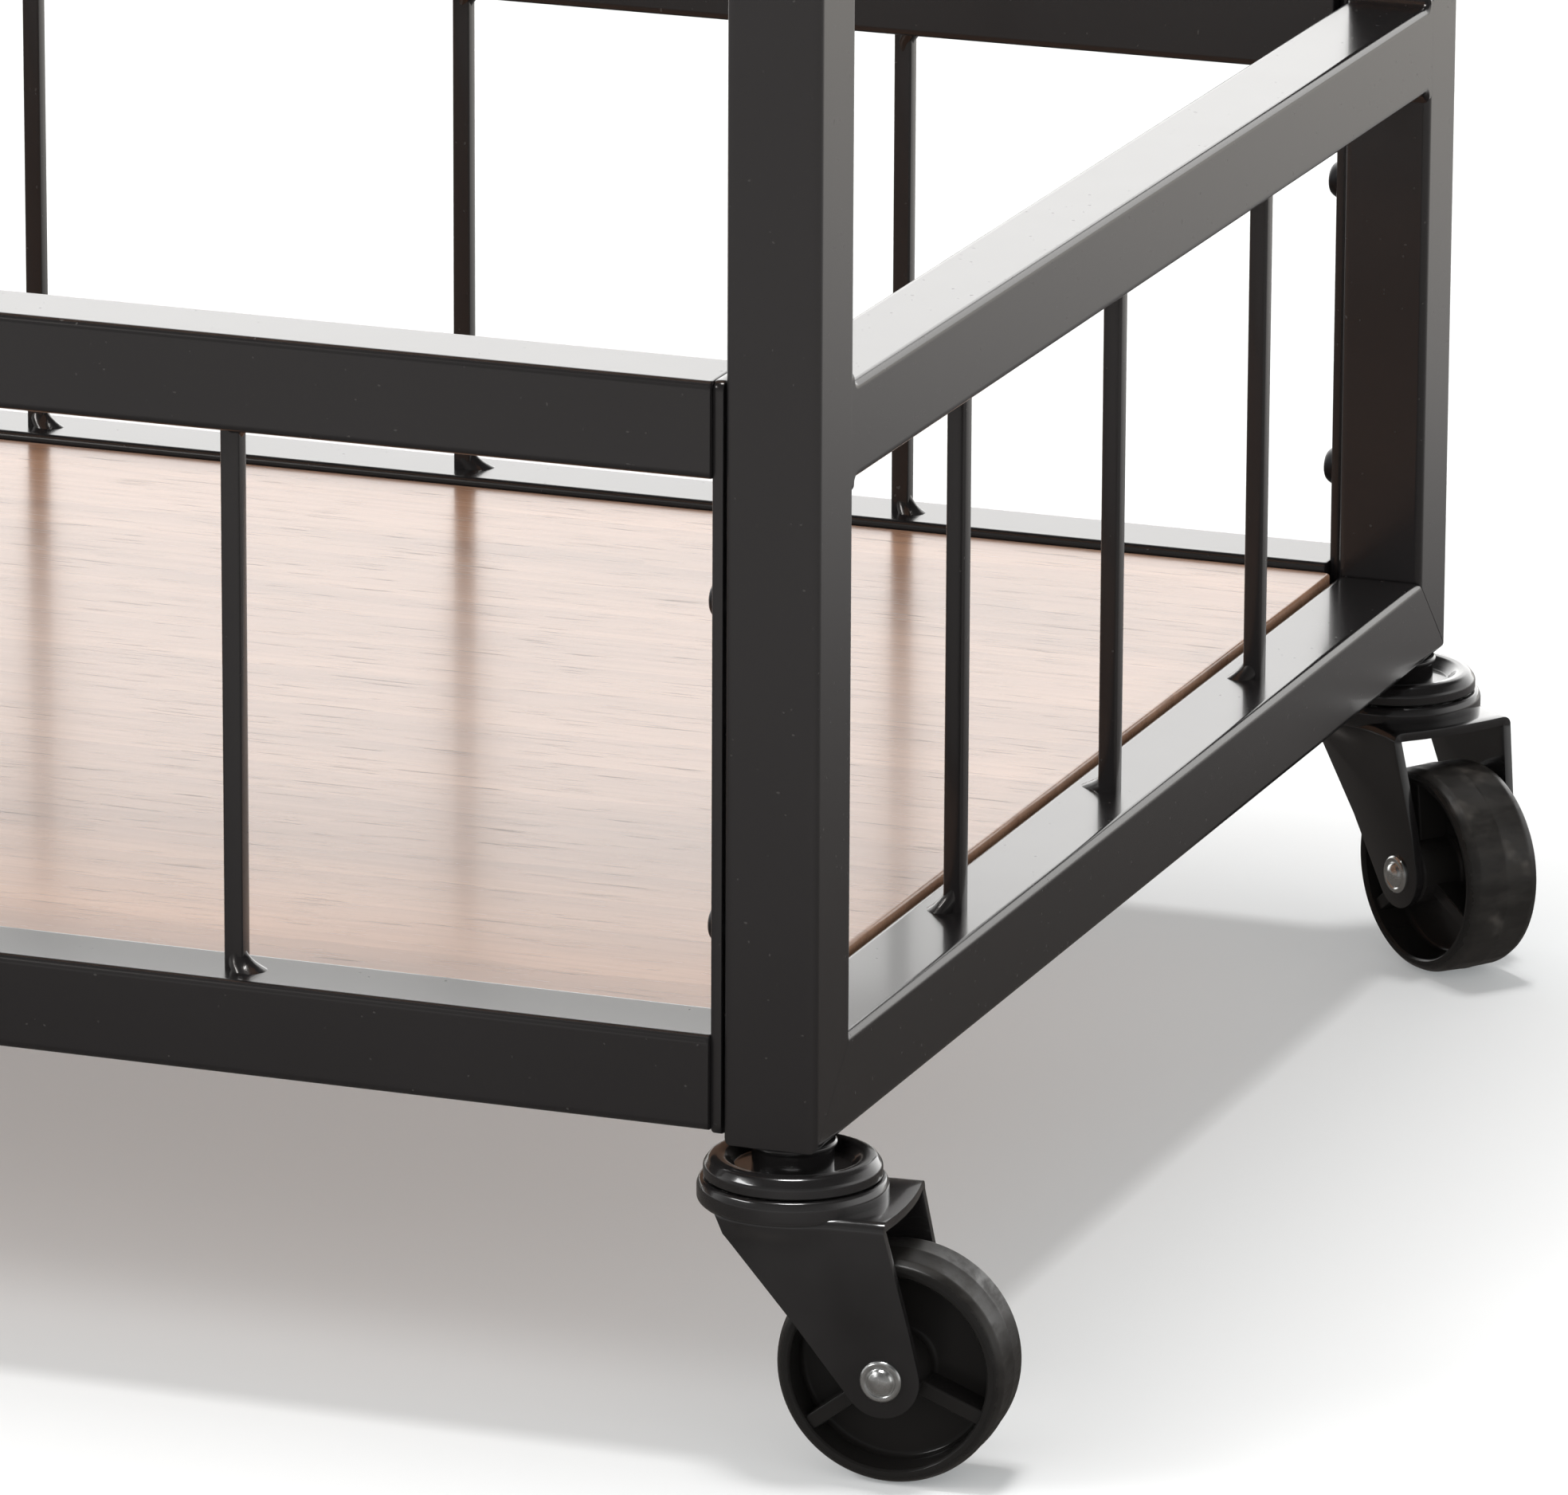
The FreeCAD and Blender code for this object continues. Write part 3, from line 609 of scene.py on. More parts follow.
def tube(name, ends, partner=None, outer=None):
    """Square tube over a node's box. Ends are mitre, weld or plain; a mitre slopes away
    from the outer coordinate of the partner axis."""
    sizes = bpy.context.scene.cart_frame
    low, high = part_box(name)
    span = high - low
    axis = max(range(3), key=lambda i: span[i])
    u_axis, v_axis = [(Y, Z), (X, Z), (X, Y)][axis]
    centre = (low + high) / 2
    half_u, half_v = span[u_axis] / 2, span[v_axis] / 2
    seam, fillet = sizes.seam, sizes.fillet

    def ring(edge, inward, shrink=0.0, flare=0.0, slope=0):
        points = []
        for u, v in section(half_u - shrink, half_v - shrink, sizes.corner):
            v += math.copysign(flare, v)
            world = [centre[u_axis] + u, centre[v_axis] + v]
            along = edge + inward
            if slope:
                across = world[0] if partner == u_axis else world[1]
                along += slope * abs(across - outer)
            points.append(set_point(axis, along, u_axis, world[0], v_axis, world[1]))
        return points

    def end(edge, way):
        if ends == "mitre":
            return [ring(edge, 0.0, seam, 0.0, way), ring(edge, way * seam * 1.3, 0.0, 0.0, way),
                    ring(edge, way * (seam * 1.3 + SUPPORT), 0.0, 0.0, way)]
        if ends == "plain":
            return [ring(edge, 0.0, seam * 1.6), ring(edge, way * seam * 0.5, seam * 0.6),
                    ring(edge, way * seam * 1.6), ring(edge, way * (seam * 1.6 + SUPPORT))]
        rings = [ring(edge, -way * sizes.corner, 0.0, fillet)]
        for k in range(6):
            d = fillet * (1 - math.cos(math.radians(18 * k)))
            rise = fillet * (1 - math.sin(math.radians(18 * k)))
            rings.append(ring(edge, way * d, 0.0, rise))
        rings.append(ring(edge, way * (fillet + SUPPORT)))
        return rings

    rings = end(low[axis], 1) + end(high[axis], -1)[::-1]
    frame_piece(name + "_tube", loft(rings), "frame_paint", name)


class CART_OT_tubes(bpy.types.Operator):
    """Posts and rails of the end frames, and the rails of the long-side panels"""
    bl_idname = "cart.tubes"
    bl_label = "Tubes"

    def execute(self, context):
        for side in SIDES:
            for end in ENDS:
                name = "post_" + side + "_" + end
                tube(name, "mitre", Y, far_face(*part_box(name), Y))
        for end in ENDS:
            tube(end + "_bottom_rail", "mitre", Z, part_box(end + "_bottom_rail")[0].z)
            tube(end + "_top_rail", "mitre", Z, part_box(end + "_top_rail")[1].z)
            tube(end + "_gallery_rail", "weld")
            tube(end + "_upper_shelf_rail", "weld")
        for side in SIDES:
            for tier in TIERS:
                for kind in ("_shelf_rail", "_gallery_rail"):
                    tube(side + "_" + tier + kind, "plain")
        return {"FINISHED"}


class CART_OT_end_plates(bpy.types.Operator):
    """Flat plates that close the long-side panels at each end"""
    bl_idname = "cart.end_plates"
    bl_label = "End Plates"
    edge = ((0.0, 0.75), (0.0, 0.35), (0.12, 0.12), (0.35, 0.0))    # depth and inset of its rings in mm

    def execute(self, context):
        thick = context.scene.cart_frame.plate
        for side in SIDES:
            for tier in TIERS:
                node = side + "_" + tier + "_end_plates"
                low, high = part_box(node)
                middle = (low + high) / 2
                bm = bmesh.new()
                for outer, way in ((low.x, 1), (high.x, -1)):
                    rings = [(outer + way * depth * MM, inset * MM) for depth, inset in self.edge]
                    rings += [(outer + way * (thick - depth * MM), inset * MM)
                              for depth, inset in self.edge[::-1]]
                    built = [[(x, middle.y + u, middle.z + v) for u, v in
                              section((high.y - low.y) / 2 - inset, (high.z - low.z) / 2 - inset,
                                      2.0 * MM - inset, 6)] for x, inset in rings]
                    add_to(bm, loft(built))
                frame_piece(node + "_pressed", bm, "frame_paint", node)
        return {"FINISHED"}


class CART_OT_rods(bpy.types.Operator):
    """Gallery rods and the weld beads that hold them"""
    bl_idname = "cart.rods"
    bl_label = "Gallery Rods"

    def execute(self, context):
        sizes = context.scene.cart_rods
        rows = []
        for tier in TIERS:
            for side in SIDES:
                rows.append((side + "_" + tier + "_rods", side + "_" + tier + "_shelf_rail",
                             side + "_" + tier + "_gallery_rail", X, 6, sizes.panel_pitch))
        for end in ENDS:
            rows.append((end + "_lower_rods", end + "_bottom_rail", end + "_gallery_rail",
                         Y, 3, sizes.end_pitch))
            rows.append((end + "_upper_rods", end + "_upper_shelf_rail", end + "_top_rail",
                         Y, 3, sizes.end_pitch))
        for seed, (node, below, above, axis, count, pitch) in enumerate(rows):
            foot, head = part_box(below)[1].z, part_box(above)[0].z
            low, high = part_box(below)
            first = (low + high) / 2
            first[axis], first.z = -pitch * (count - 1) / 2, foot
            step = Vector((0, 0, 0))
            step[axis] = pitch
            made = grow(node + "_welded", bpy.data.meshes.new(node), rod_tree(), {
                "Count": count, "First": first, "Step": step, "Height": head - foot,
                "Section": sizes.section, "Corner": sizes.corner, "Bead Width": sizes.bead_width,
                "Bead Height": sizes.bead_height, "Unevenness": sizes.unevenness,
                "Lean": math.pi if node.startswith("right") else 0.0, "Seed": seed + 3,
                "Finish": finish("frame_paint")})
            dress(made, "frame_paint", 40.0)
            hand_over(made, "cart_frame", node)
        return {"FINISHED"}


# ---------------------------------------------------------------- shelves and fasteners

class CART_OT_shelves(bpy.types.Operator):
    """Timber shelf boards with sanded edges"""
    bl_idname = "cart.shelves"
    bl_label = "Shelf Boards"

    def execute(self, context):
        ease = context.scene.cart_shelf.easing
        for tier in TIERS:
            node = tier + "_shelf_board"
            low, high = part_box(node)
            middle = (low + high) / 2
            turns = [math.radians(22.5 * k) for k in range(5)]
            steps = [(ease * (1 - math.sin(t)), ease * (1 - math.cos(t))) for t in turns]
            levels = [(low.z, ease + SUPPORT)] + [(low.z + rise, inset) for inset, rise in steps]
            levels += [(high.z - rise, inset) for inset, rise in reversed(steps)] + [(high.z, ease + SUPPORT)]
            rings = [[(middle.x + u, middle.y + v, z) for u, v in
                      section((high.x - low.x) / 2 - inset, (high.y - low.y) / 2 - inset,
                              1.6 * MM - inset, 5)] for z, inset in levels]
            frame_piece(node + "_veneered", loft(rings), "shelf_walnut", node)
        return {"FINISHED"}


def bolt_source():
    """Button-head bolt with a hexagon socket; the head rises along -Z from the plate."""
    head, rise, shank, length = 4.75 * MM, 3.2 * MM, 2.5 * MM, 14.0 * MM
    outline = rounded([(0, length), (shank - 0.5 * MM, length), (shank, length - 0.5 * MM), (shank, 0),
                       (head, 0), (head, -0.6 * MM, 0.3 * MM), (head * 0.72, -rise * 0.86, 2.2 * MM),
                       (2.0 * MM, -rise), (1.75 * MM, -rise)], 4)
    bm = revolve(outline + [(1.75 * MM, -rise + 1.9 * MM), (0, -rise + 2.1 * MM)], 36)
    for vertex in bm.verts:
        reach = math.hypot(vertex.co.x, vertex.co.y)
        if 1.6 * MM < reach < 1.85 * MM:
            turn = math.atan2(vertex.co.y, vertex.co.x) % (math.pi / 3) - math.pi / 6
            flat = 1.5 * MM / math.cos(turn) / reach
            vertex.co.x *= flat
            vertex.co.y *= flat
    return bm


def screw_source():
    """Pan-head screw seen from below, with a cross recess in the head."""
    head, rise = bpy.context.scene.cart_shelf.screw_head, 1.8 * MM
    outline = rounded([(0, 12.0 * MM), (0.4 * MM, 11.0 * MM), (1.5 * MM, 9.0 * MM), (1.5 * MM, 0), (head, 0),
                       (head, -0.5 * MM, 0.3 * MM), (head * 0.72, -rise, 1.6 * MM), (1.3 * MM, -rise)], 4)
    bm = revolve(outline + [(0.9 * MM, -rise + 0.9 * MM), (0, -rise + 1.1 * MM)], 32)
    for vertex in bm.verts:
        reach = math.hypot(vertex.co.x, vertex.co.y)
        if 0.85 * MM < reach < 1.35 * MM and vertex.co.z < 0:
            squeeze = 0.72 + 0.38 * abs(math.cos(2 * math.atan2(vertex.co.y, vertex.co.x))) ** 2
            vertex.co.x *= squeeze
            vertex.co.y *= squeeze
    return bm


class CART_OT_fasteners(bpy.types.Operator):
    """Panel bolts and the screws that hold the boards on their tabs"""
    bl_idname = "cart.fasteners"
    bl_label = "Fasteners"
    bolt_rises = (42.0, 109.4)                # over the foot of an end plate, in mm
    bolt_turn = 41.0                          # radians from one bolt's socket to the next
    side_screws, end_screws = (-250, 0, 250), (-110, 110)
    tab_thickness = 2.0

    def execute(self, context):
        thick = context.scene.cart_frame.plate
        places = []
        for side in SIDES:
            for tier in TIERS:
                low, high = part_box(side + "_" + tier + "_end_plates")
                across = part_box("post_" + side + "_right")
                depth = (across[0].y + across[1].y) / 2
                for rise in self.bolt_rises:
                    for x, way in ((low.x + thick, -1), (high.x - thick, 1)):
                        turn = (Matrix.Rotation(way * math.pi / 2, 3, "Y") @
                                Matrix.Rotation(self.bolt_turn * len(places), 3, "Z"))
                        places.append(((x, depth, low.z + rise * MM), tuple(turn.to_euler())))
        frame_set("panel_bolts", bolt_source(), places, "bolt_black")
        low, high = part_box("shelf_screws")
        reach_x, reach_y = (high.x - low.x) / 2, (high.y - low.y) / 2
        reach_x -= context.scene.cart_shelf.screw_head
        reach_y -= context.scene.cart_shelf.screw_head
        places = []
        for tier in TIERS:
            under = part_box(tier + "_shelf_board")[0].z - self.tab_thickness * MM
            for way in (-1, 1):
                places += [((x * MM, way * reach_y, under), (0, 0, x)) for x in self.side_screws]
                places += [((way * reach_x, y * MM, under), (0, 0, y)) for y in self.end_screws]
        frame_set("shelf_screws", screw_source(), places, "plain_zinc")
        return {"FINISHED"}


class CART_OT_carried(bpy.types.Operator):
    """Finishes for the small parts whose modelled shape is kept"""
    bl_idname = "cart.carried"
    bl_label = "Small Parts"

    def execute(self, context):
        for node, slot in (("shelf_tabs", "frame_paint"), ("panel_inserts", "plain_zinc"),
                           ("caster_bushes", "plain_zinc")):
            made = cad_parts[node]
            made.data.materials.clear()
            made.data.materials.append(finish(slot))
        return {"FINISHED"}


# ---------------------------------------------------------------- casters
# Each piece is made about its swivel axis on +Z, trailing along +X, then set in place.

def caster_place(corner):
    low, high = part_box("caster_stem_" + corner)
    middle = (low + high) / 2
    return (Matrix.Translation((middle.x, middle.y, 0)) @
            Matrix.Rotation(math.radians(CASTER_TURNS[corner]), 4, "Z"))


def axle_place():
    sizes = bpy.context.scene.cart_caster
    return Matrix.Translation((sizes.trail, 0, sizes.wheel)) @ Matrix.Rotation(math.radians(-90), 4, "X")


def in_mm(points):
    return [tuple(c * MM for c in point) for point in points]


def at_each_corner(base, source, slot, body, node):
    """One copy of a caster piece in each corner, its place in its mesh."""
    for corner in CORNERS:
        copy = source.copy()
        copy.name = base + corner
        copy.transform(caster_place(corner))
        made = dress(bpy.data.objects.new(base + corner, copy), slot, 34.0)
        hand_over(made, body.format(corner), node + corner)
    bpy.data.meshes.remove(source)


class CART_OT_stems(bpy.types.Operator):
    """Turned stems with their collars, and the pressed raceway caps"""
    bl_idname = "cart.stems"
    bl_label = "Stems and Caps"

    def execute(self, context):
        stem = rounded(in_mm([
            (0, 55.8), (4.875, 55.8, 0.5), (6.5, 57.2, 0.6), (6.5, 58.0), (4.0, 58.0), (4.0, 63.4),
            (8.4, 63.4), (8.4, 67.2, 0.8), (9.0, 68.0, 0.5), (9.0, 68.6, 0.3),
            (8.6, 69.0), (5.0, 69.0), (5.0, 84.0), (4.0, 85.0), (0, 85.0)]), 4)
        at_each_corner("stem_", as_mesh(revolve(stem)), "caster_enamel",
                       "cart_frame", "caster_stem_")
        cap = rounded(in_mm([
            (4.05, 62.3), (12.7, 62.3, 0.6), (14.2, 63.5, 0.8), (16.0, 63.5, 0.8), (16.8, 62.8, 0.5),
            (17.1, 61.6), (17.35, 61.4), (17.9, 61.4), (18.2, 61.7), (18.2, 63.7, 1.5), (16.9, 65.5, 1.9),
            (15.6, 65.75, 2.0), (14.0, 65.6, 1.4), (12.7, 64.2, 1.4), (11.8, 63.4, 0.8), (4.05, 63.4)]), 5)
        at_each_corner("cap_", as_mesh(revolve(cap, 96, closed=True)), "caster_enamel",
                       "cart_frame", "raceway_cap_")
        return {"FINISHED"}


def tangent_point(point, centre, radius, side):
    dx, dz = point[0] - centre[0], point[1] - centre[1]
    distance = math.hypot(dx, dz)
    angle = math.atan2(dz, dx) + side * math.acos(radius / distance)
    return centre[0] + radius * math.cos(angle), centre[1] + radius * math.sin(angle)


class ForkSheet:
    """Outline of the pressed fork in millimetres: legs, folds, and the flare into the crown."""
    back, shoulder, front, top = -11.3, 54.0, 22.8, 57.6
    round, crown, fold, split, bend, lean = 7.9, 19.2, 2.2, 50.5, 34.0, 0.088

    def __init__(self, trail, wheel, half):
        self.centre, self.half = (trail, wheel), half
        self.back_touch = tangent_point((self.back, self.shoulder), self.centre, self.round, 1)
        self.front_touch = tangent_point((self.front, self.top), self.centre, self.round, -1)

    def back_edge(self, z):
        if z > self.shoulder - 1.0:
            share = min(1.0, (z - self.shoulder + 1.0) / 4.0)
            near = self.back_edge(self.shoulder - 1.0)
            return near - 2.6 * share ** 1.5
        a, b = self.back_touch, (self.back, self.shoulder)
        return a[0] + (b[0] - a[0]) * (z - a[1]) / (b[1] - a[1])

    def front_edge(self, z):
        a, b = self.front_touch, (self.front, self.top)
        return a[0] + (b[0] - a[0]) * (z - a[1]) / (b[1] - a[1])

    def reach(self, x, z):
        """Half width of the outer face: flat legs that swell into the round crown."""
        share = max(0.0, min(1.0, (z - 51.0) / 5.2))
        share = share * share * (3 - 2 * share)
        inside = self.crown ** 2 - x * x
        circle = math.sqrt(inside) if inside > 0 else 0.0
        half = self.leg(z)
        goal = circle if x < 0 else max(circle, half)
        return half + (goal - half) * share

    def leg(self, z):
        """Half width of the flat legs, which lean outwards above a bend over the axle."""
        return self.half + self.lean * max(0.0, z - self.bend)

    def rows(self):
        """(height, tuck) of each row up the leg and round the fold; tuck is how far in it sits."""
        rows = [(z, 0.0) for z in (self.split, 51.6, 52.7, 53.8, 54.8, self.top - self.fold)]
        for k in range(1, 6):
            turn = math.radians(18 * k)
            rows.append((self.top - self.fold + self.fold * math.sin(turn), self.fold * (1 - math.cos(turn))))
        return rows

    def build(self):
        bm = bmesh.new()
        shares = [0.0, 0.07, 0.17, 0.28, 0.39, 0.50, 0.61, 0.72, 0.83, 0.93, 1.0]
        tops = []
        for way in (-1, 1):
            grid = []
            for z, tuck in self.rows():
                x0, x1 = self.back_edge(z), self.front_edge(min(z, self.top - self.fold))
                row = []
                for s in shares:
                    x = x0 + (x1 - x0) * s
                    row.append(bm.verts.new((x * MM, way * (self.reach(x, z) - tuck) * MM, z * MM)))
                grid.append(row)
            for low, high in zip(grid, grid[1:]):
                for i in range(len(shares) - 1):
                    bm.faces.new((low[i], low[i + 1], high[i + 1], high[i]))
            outline = []
            start = math.atan2(self.back_touch[1] - self.centre[1], self.back_touch[0] - self.centre[0])
            end = math.atan2(self.front_touch[1] - self.centre[1], self.front_touch[0] - self.centre[0])
            if start > 0:
                start -= 2 * math.pi
            for k in range(17):
                turn = start + (end - start) * k / 16
                x = self.centre[0] + self.round * math.cos(turn)
                z = self.centre[1] + self.round * math.sin(turn)
                outline.append(bm.verts.new((x * MM, way * self.half * MM, z * MM)))
            kink = [bm.verts.new((x * MM, way * self.half * MM, self.bend * MM))
                    for x in (self.back_edge(self.bend), self.front_edge(self.bend))]
            bm.faces.new(outline + kink[::-1])
            bm.faces.new(kink + grid[0][::-1])
            tops.append(grid[-1])
        spans = [-0.6, -0.2, 0.2, 0.6]
        rows = [tops[0]]
        for share in spans:
            row = []
            for i, (a, b) in enumerate(zip(*tops)):
                middle, half = (a.co + b.co) / 2, (b.co - a.co) / 2
                point = middle + half * share
                point.x += (1 - share * share) * 1.1 * MM * (shares[i] ** 4)
                row.append(bm.verts.new(point))
            rows.append(row)
        rows.append(tops[1])
        for low, high in zip(rows, rows[1:]):
            for i in range(len(shares) - 1):
                bm.faces.new((low[i], low[i + 1], high[i + 1], high[i]))
        bmesh.ops.recalc_face_normals(bm, faces=bm.faces)
        if sum((f.normal.z for f in bm.faces)) < 0:
            bmesh.ops.reverse_faces(bm, faces=bm.faces)
        return bm


class CART_OT_forks(bpy.types.Operator):
    """Pressed forks: folded sheet legs and the raised crown of the ball race"""
    bl_idname = "cart.forks"
    bl_label = "Forks"

    def execute(self, context):
        sizes = context.scene.cart_caster
        sheet = ForkSheet(sizes.trail / MM, sizes.wheel / MM, sizes.fork / MM)
        made = piece("fork_source", sheet.build(), "caster_enamel")
        wall = made.modifiers.new("Sheet", "SOLIDIFY")
        wall.thickness, wall.offset, wall.use_even_offset = sizes.sheet, -1.0, True
        edge = made.modifiers.new("Edge", "BEVEL")
        edge.width, edge.segments, edge.limit_method = 0.45 * MM, 3, "ANGLE"
        edge.angle_limit = math.radians(50)
        edge.harden_normals = False
        applied(made)
        bm = bmesh.new()
        bm.from_mesh(made.data)
        old = made.data
        bpy.data.objects.remove(made)
        bpy.data.meshes.remove(old)
        crown = rounded(in_mm([
            (4.08, 58.3), (16.9, 58.3), (16.9, 55.6), (18.3, 55.6, 0.5), (19.5, 56.6, 1.4), (19.5, 59.6, 1.8),
            (18.9, 61.1, 0.8), (17.6, 61.1, 0.6), (16.9, 60.5, 0.5), (4.08, 60.5)]), 5)
        add_to(bm, revolve(crown, 96, closed=True))
        at_each_corner("fork_", as_mesh(bm), "caster_enamel", "swivel_{}", "caster_fork_")
        return {"FINISHED"}


def hex_nut(flats, height, start):
    """Hexagon nut with its corners turned off."""
    rings, corner = [], flats / 2 / math.cos(math.pi / 6)
    for lift, reach in ((0.0, 0.93), (0.10, 1.0), (0.90, 1.0), (1.0, 0.93)):
        ring = []
        for k in range(36):
            turn = 2 * math.pi * k / 36
            hexagon = flats / 2 / math.cos((turn % (math.pi / 3)) - math.pi / 6)
            radius = min(hexagon, corner * reach)
            ring.append((radius * math.cos(turn), radius * math.sin(turn), start + height * lift))
        rings.append(ring)
    return loft(rings)


class CART_OT_axles(bpy.types.Operator):
    """Axle bolts with a ringed, domed head, and their nuts"""
    bl_idname = "cart.axles"
    bl_label = "Axles"

    def execute(self, context):
        out = 14.2
        outline = rounded(in_mm([
            (0, -out - 2.2), (1.3, -out - 2.05, 2.0), (2.35, -out - 1.45, 0.8), (2.75, -out - 0.85, 0.25),
            (3.0, -out - 0.72, 0.15), (3.35, -out - 0.98, 0.25), (3.95, -out - 1.0, 0.3),
            (4.35, -out - 0.55, 0.3), (4.35, -out), (3.0, -out), (3.0, out + 3.4), (2.4, out + 4.0),
            (0, out + 4.0)]), 5)
        bm = revolve(outline, 64)
        add_to(bm, hex_nut(8.0 * MM, 3.2 * MM, out * MM))
        mesh = as_mesh(bm)
        mesh.transform(axle_place())
        at_each_corner("axle_", mesh, "axle_zinc", "swivel_{}", "caster_axle_")
        return {"FINISHED"}


def rib_source():
    """One wheel rib along +X with eased edges, tapering towards its faces."""
    rings = []
    for x in (6.6, 20.9):
        ring = []
        for u, v in section(1.6 * MM, 8.3 * MM, 0.45 * MM, 4, 0.1 * MM):
            ring.append((x * MM, u * (1.25 - 0.25 * abs(v) / (8.3 * MM)), v))
        rings.append(ring)
    return loft(rings)


class CART_OT_wheels(bpy.types.Operator):
    """Moulded wheels with a rounded tread, a dished rim and ribs"""
    bl_idname = "cart.wheels"
    bl_label = "Wheels"

    def execute(self, context):
        side = [(3.06, 11.6), (3.4, 11.9), (6.6, 11.9), (7.4, 11.0, 0.5), (7.5, 1.2, 1.2), (20.2, 1.2, 1.2),
                (20.5, 8.9, 0.35), (20.95, 9.38, 0.2), (21.9, 9.5, 0.5), (22.9, 8.75, 1.6), (23.75, 6.9, 2.6),
                (23.92, 0.6), (24.0, 0.25), (24.0, 0.0)]
        outline = rounded(in_mm(side), 5)
        outline += [(r, -h) for r, h in reversed(outline[:-1])]
        body = revolve(outline, 112, closed=True)
        places = [((0, 0, 0), (0, 0, math.radians(23.0 + 120.0 * k))) for k in range(3)]
        made = set_at("wheel_body", rib_source(), places, "wheel_plastic", body)
        mesh = made.data
        tread = mesh.attributes.new("tread", "FLOAT", "POINT")
        reach = [math.hypot(v.co.x, v.co.y) / MM for v in mesh.vertices]
        tread.data.foreach_set("value", [max(0.0, min(1.0, (r - 22.2) / 1.4)) for r in reach])
        mesh.transform(axle_place())
        bpy.data.objects.remove(made)
        at_each_corner("wheel_", mesh, "wheel_plastic", "wheel_{}", "caster_wheel_")
        return {"FINISHED"}


class CART_OT_balls(bpy.types.Operator):
    """Bearing balls in the swivel races"""
    bl_idname = "cart.balls"
    bl_label = "Bearing Balls"

    def execute(self, context):
        count, radius, circle, height = 12, 1.3 * MM, 15.3 * MM, 61.95 * MM
        ball = bmesh.new()
        bmesh.ops.create_icosphere(ball, subdivisions=3, radius=radius)
        places = []
        for corner in CORNERS:
            place = caster_place(corner)
            for k in range(count):
                turn = 2 * math.pi * k / count
                point = place @ Vector((circle * math.cos(turn), circle * math.sin(turn), height))
                places.append((point, (0, 0, turn)))
        frame_set("swivel_balls", ball, places, "bearing_steel", sharp=60.0)
        return {"FINISHED"}


# ---------------------------------------------------------------- stage

def backdrop():
    """White studio: bright low light behind and broad soft light in front, less of it in reflections."""
    world = bpy.data.worlds.new("studio")
    bpy.context.scene.world = world
    world.use_nodes = True
    book = Book(world.node_tree)
    across, deep, up = book.split(book.node("ShaderNodeTexCoord"))
    ahead = (deep * 0.935 - across * 0.353).band(0.45, 0.92)
    low = 1 - up.band(0.34, 0.66)
    front = (0.0 - deep).band(-0.25, 0.55) * (1 - up.band(0.55, 0.88))
    soft = 0.28 + front * 1.15 + low * 0.42 + ahead * low * 1.6
    mirrored = 0.08 + low * (0.15 + deep.band(-0.5, 0.3) * 1.05) + ahead * low * 1.25
    strength = soft + book.glossy_ray() * (mirrored - soft)
    background = world.node_tree.nodes["Background"]
    background.inputs["Color"].default_value = (1.0, 0.995, 0.985, 1.0)
    book.tree.links.new(strength.socket, background.inputs["Strength"])


def floor_finish():
    """Pale matt floor with a little glow. Mirror-like rays see a glowing painted reflection instead: a painted
    shadow, dark near the cart, lighter farther out and brightest behind it.
    """
    material = bpy.data.materials.new("pale_floor")
    material.use_nodes = True
    book = Book(material.node_tree)
    material.node_tree.nodes.clear()
    place = book.node("ShaderNodeTexCoord", None, None, output=3)
    away = book.node("ShaderNodeVectorMath", {"operation": "LENGTH"},
                     {0: book.stretched(place, (0.6, 1.0, 0.0))}, output=1)
    deep = book.split(place)[Y]
    cloud = book.noise(place, 1.3, 2.0)
    matt = book.node("ShaderNodeBsdfDiffuse", None,
                     {"Color": book.blend(cloud, (0.60, 0.60, 0.60, 1), (0.62, 0.62, 0.615, 1))})
    glow = book.node("ShaderNodeEmission", None, {"Color": (0.94, 0.985, 1.0, 1), "Strength": 0.22})
    pale = book.node("ShaderNodeAddShader", None, {0: matt, 1: glow})
    # painted shadow for reflections: floor colour dark close to the cart, lighter with distance, warm white
    # towards the back
    tint = book.blend(away.band(0.22, 0.95), (0.11, 0.10, 0.092, 1), (0.50, 0.49, 0.49, 1))
    tint = book.blend(deep.band(0.35, 1.5), tint, (1.0, 0.96, 0.90, 1))
    # painted reflection: this colour glows by itself and is shown only to mirror-like rays
    painted_reflection = book.node("ShaderNodeEmission", None, {"Color": tint, "Strength": 1.0})
    shader = book.node("ShaderNodeMixShader", None, {0: book.glossy_ray(), 1: pale, 2: painted_reflection})
    leave = material.node_tree.nodes.new("ShaderNodeOutputMaterial")
    material.node_tree.links.new(shader.socket, leave.inputs["Surface"])
    return material


def softbox(name, place, target, size, power):
    lamp = bpy.data.lights.new(name, "AREA")
    lamp.shape, lamp.size, lamp.size_y, lamp.energy = "RECTANGLE", size[0], size[1], power
    made = bpy.data.objects.new(name, lamp)
    made.location = place
    made.rotation_mode = "QUATERNION"
    made.rotation_quaternion = (Vector(target) - Vector(place)).to_track_quat("-Z", "Y")
    made.visible_camera = False
    bpy.context.scene.collection.objects.link(made)


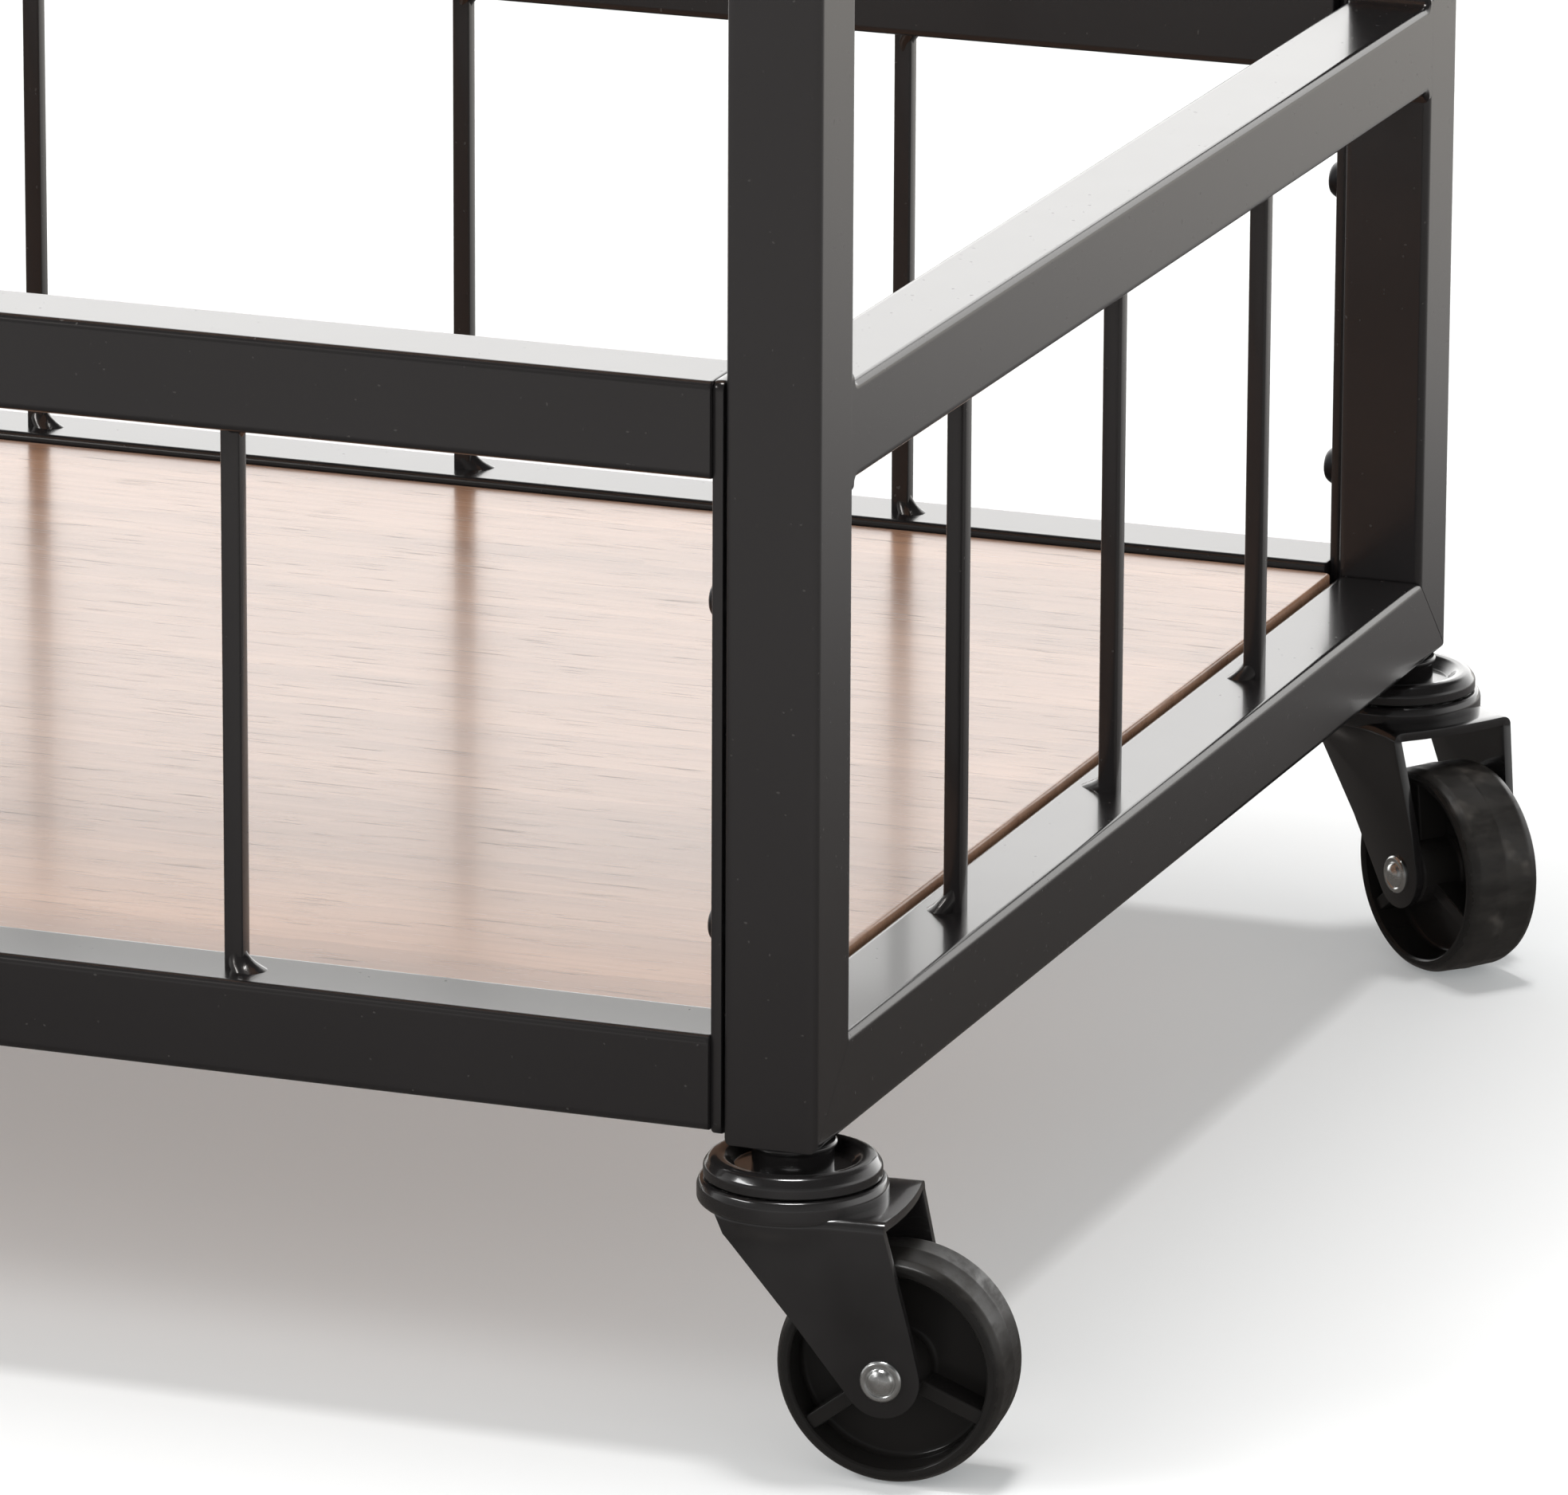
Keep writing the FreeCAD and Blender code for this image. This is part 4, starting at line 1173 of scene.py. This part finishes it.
class CART_OT_stage(bpy.types.Operator):
    """Pale floor, white room, two lights and the camera"""
    bl_idname = "cart.stage"
    bl_label = "Stage"

    def execute(self, context):
        scene, shot = context.scene, context.scene.cart_stage
        a, e, r = shot.azimuth, shot.elevation, shot.roll
        right = Vector((math.cos(a), math.sin(a), 0))
        back = Vector((math.sin(a) * math.cos(e), -math.cos(a) * math.cos(e), math.sin(e)))
        up = back.cross(right)
        side = right * math.cos(r) + up * math.sin(r)
        head = up * math.cos(r) - right * math.sin(r)
        camera = bpy.data.objects.new("camera", bpy.data.cameras.new("camera"))
        camera.data.lens, camera.data.sensor_width = shot.lens, 36.0
        camera.data.clip_start, camera.data.clip_end = 0.1, 200.0
        turn = Matrix((side, head, back)).transposed().to_4x4()
        camera.matrix_world = Matrix.Translation(shot.position) @ turn
        scene.collection.objects.link(camera)
        scene.camera = camera
        floor = bmesh.new()
        bmesh.ops.create_grid(floor, x_segments=8, y_segments=8, size=60.0)
        mesh = as_mesh(floor, "floor")
        mesh.materials.append(floor_finish())
        made = bpy.data.objects.new("floor", mesh)
        scene.collection.objects.link(made)
        backdrop()
        softbox("key", (-2.5, -2.3, 2.6), (0, 0, 0.3), (1.8, 0.7), 55.0)
        overhead = bpy.data.objects.new("overhead", bpy.data.lights.new("overhead", "SUN"))
        overhead.data.energy, overhead.data.angle = 2.6, math.radians(16)
        overhead.rotation_euler = (0, math.radians(-2), 0)
        scene.collection.objects.link(overhead)
        scene.view_settings.view_transform = "Standard"
        return {"FINISHED"}


# ---------------------------------------------------------------- add-on

OPERATORS = (CART_OT_stage, CART_OT_tubes, CART_OT_end_plates, CART_OT_rods, CART_OT_shelves,
             CART_OT_fasteners, CART_OT_carried, CART_OT_stems, CART_OT_forks, CART_OT_axles,
             CART_OT_wheels, CART_OT_balls)
GROUPS = {"cart_frame": CART_PG_frame, "cart_rods": CART_PG_rods, "cart_shelf": CART_PG_shelf,
          "cart_caster": CART_PG_caster, "cart_finishes": CART_PG_finishes, "cart_stage": CART_PG_stage}


class CART_PT_sidebar(bpy.types.Panel):
    """Sizes, finishes and the steps that build the cart"""
    bl_idname = "CART_PT_sidebar"
    bl_label = "Bar Cart"
    bl_space_type = "VIEW_3D"
    bl_region_type = "UI"
    bl_category = "Bar Cart"

    def draw(self, context):
        for name, group in GROUPS.items():
            box = self.layout.box()
            box.label(text=name.replace("cart_", "").title())
            for label in group.__annotations__:
                box.prop(getattr(context.scene, name), label)
        for operator in OPERATORS:
            self.layout.operator(operator.bl_idname)


def register():
    for group in GROUPS.values():
        bpy.utils.register_class(group)
    for name, group in GROUPS.items():
        setattr(bpy.types.Scene, name, bpy.props.PointerProperty(type=group))
    for item in (*OPERATORS, CART_PT_sidebar):
        bpy.utils.register_class(item)


def unregister():
    for item in (CART_PT_sidebar, *reversed(OPERATORS)):
        bpy.utils.unregister_class(item)
    for name in GROUPS:
        delattr(bpy.types.Scene, name)
    for group in reversed(list(GROUPS.values())):
        bpy.utils.unregister_class(group)


def main():
    register()
    for operator in OPERATORS:
        family, name = operator.bl_idname.split(".")
        getattr(getattr(bpy.ops, family), name)()


if __name__ == "__main__":
    main()
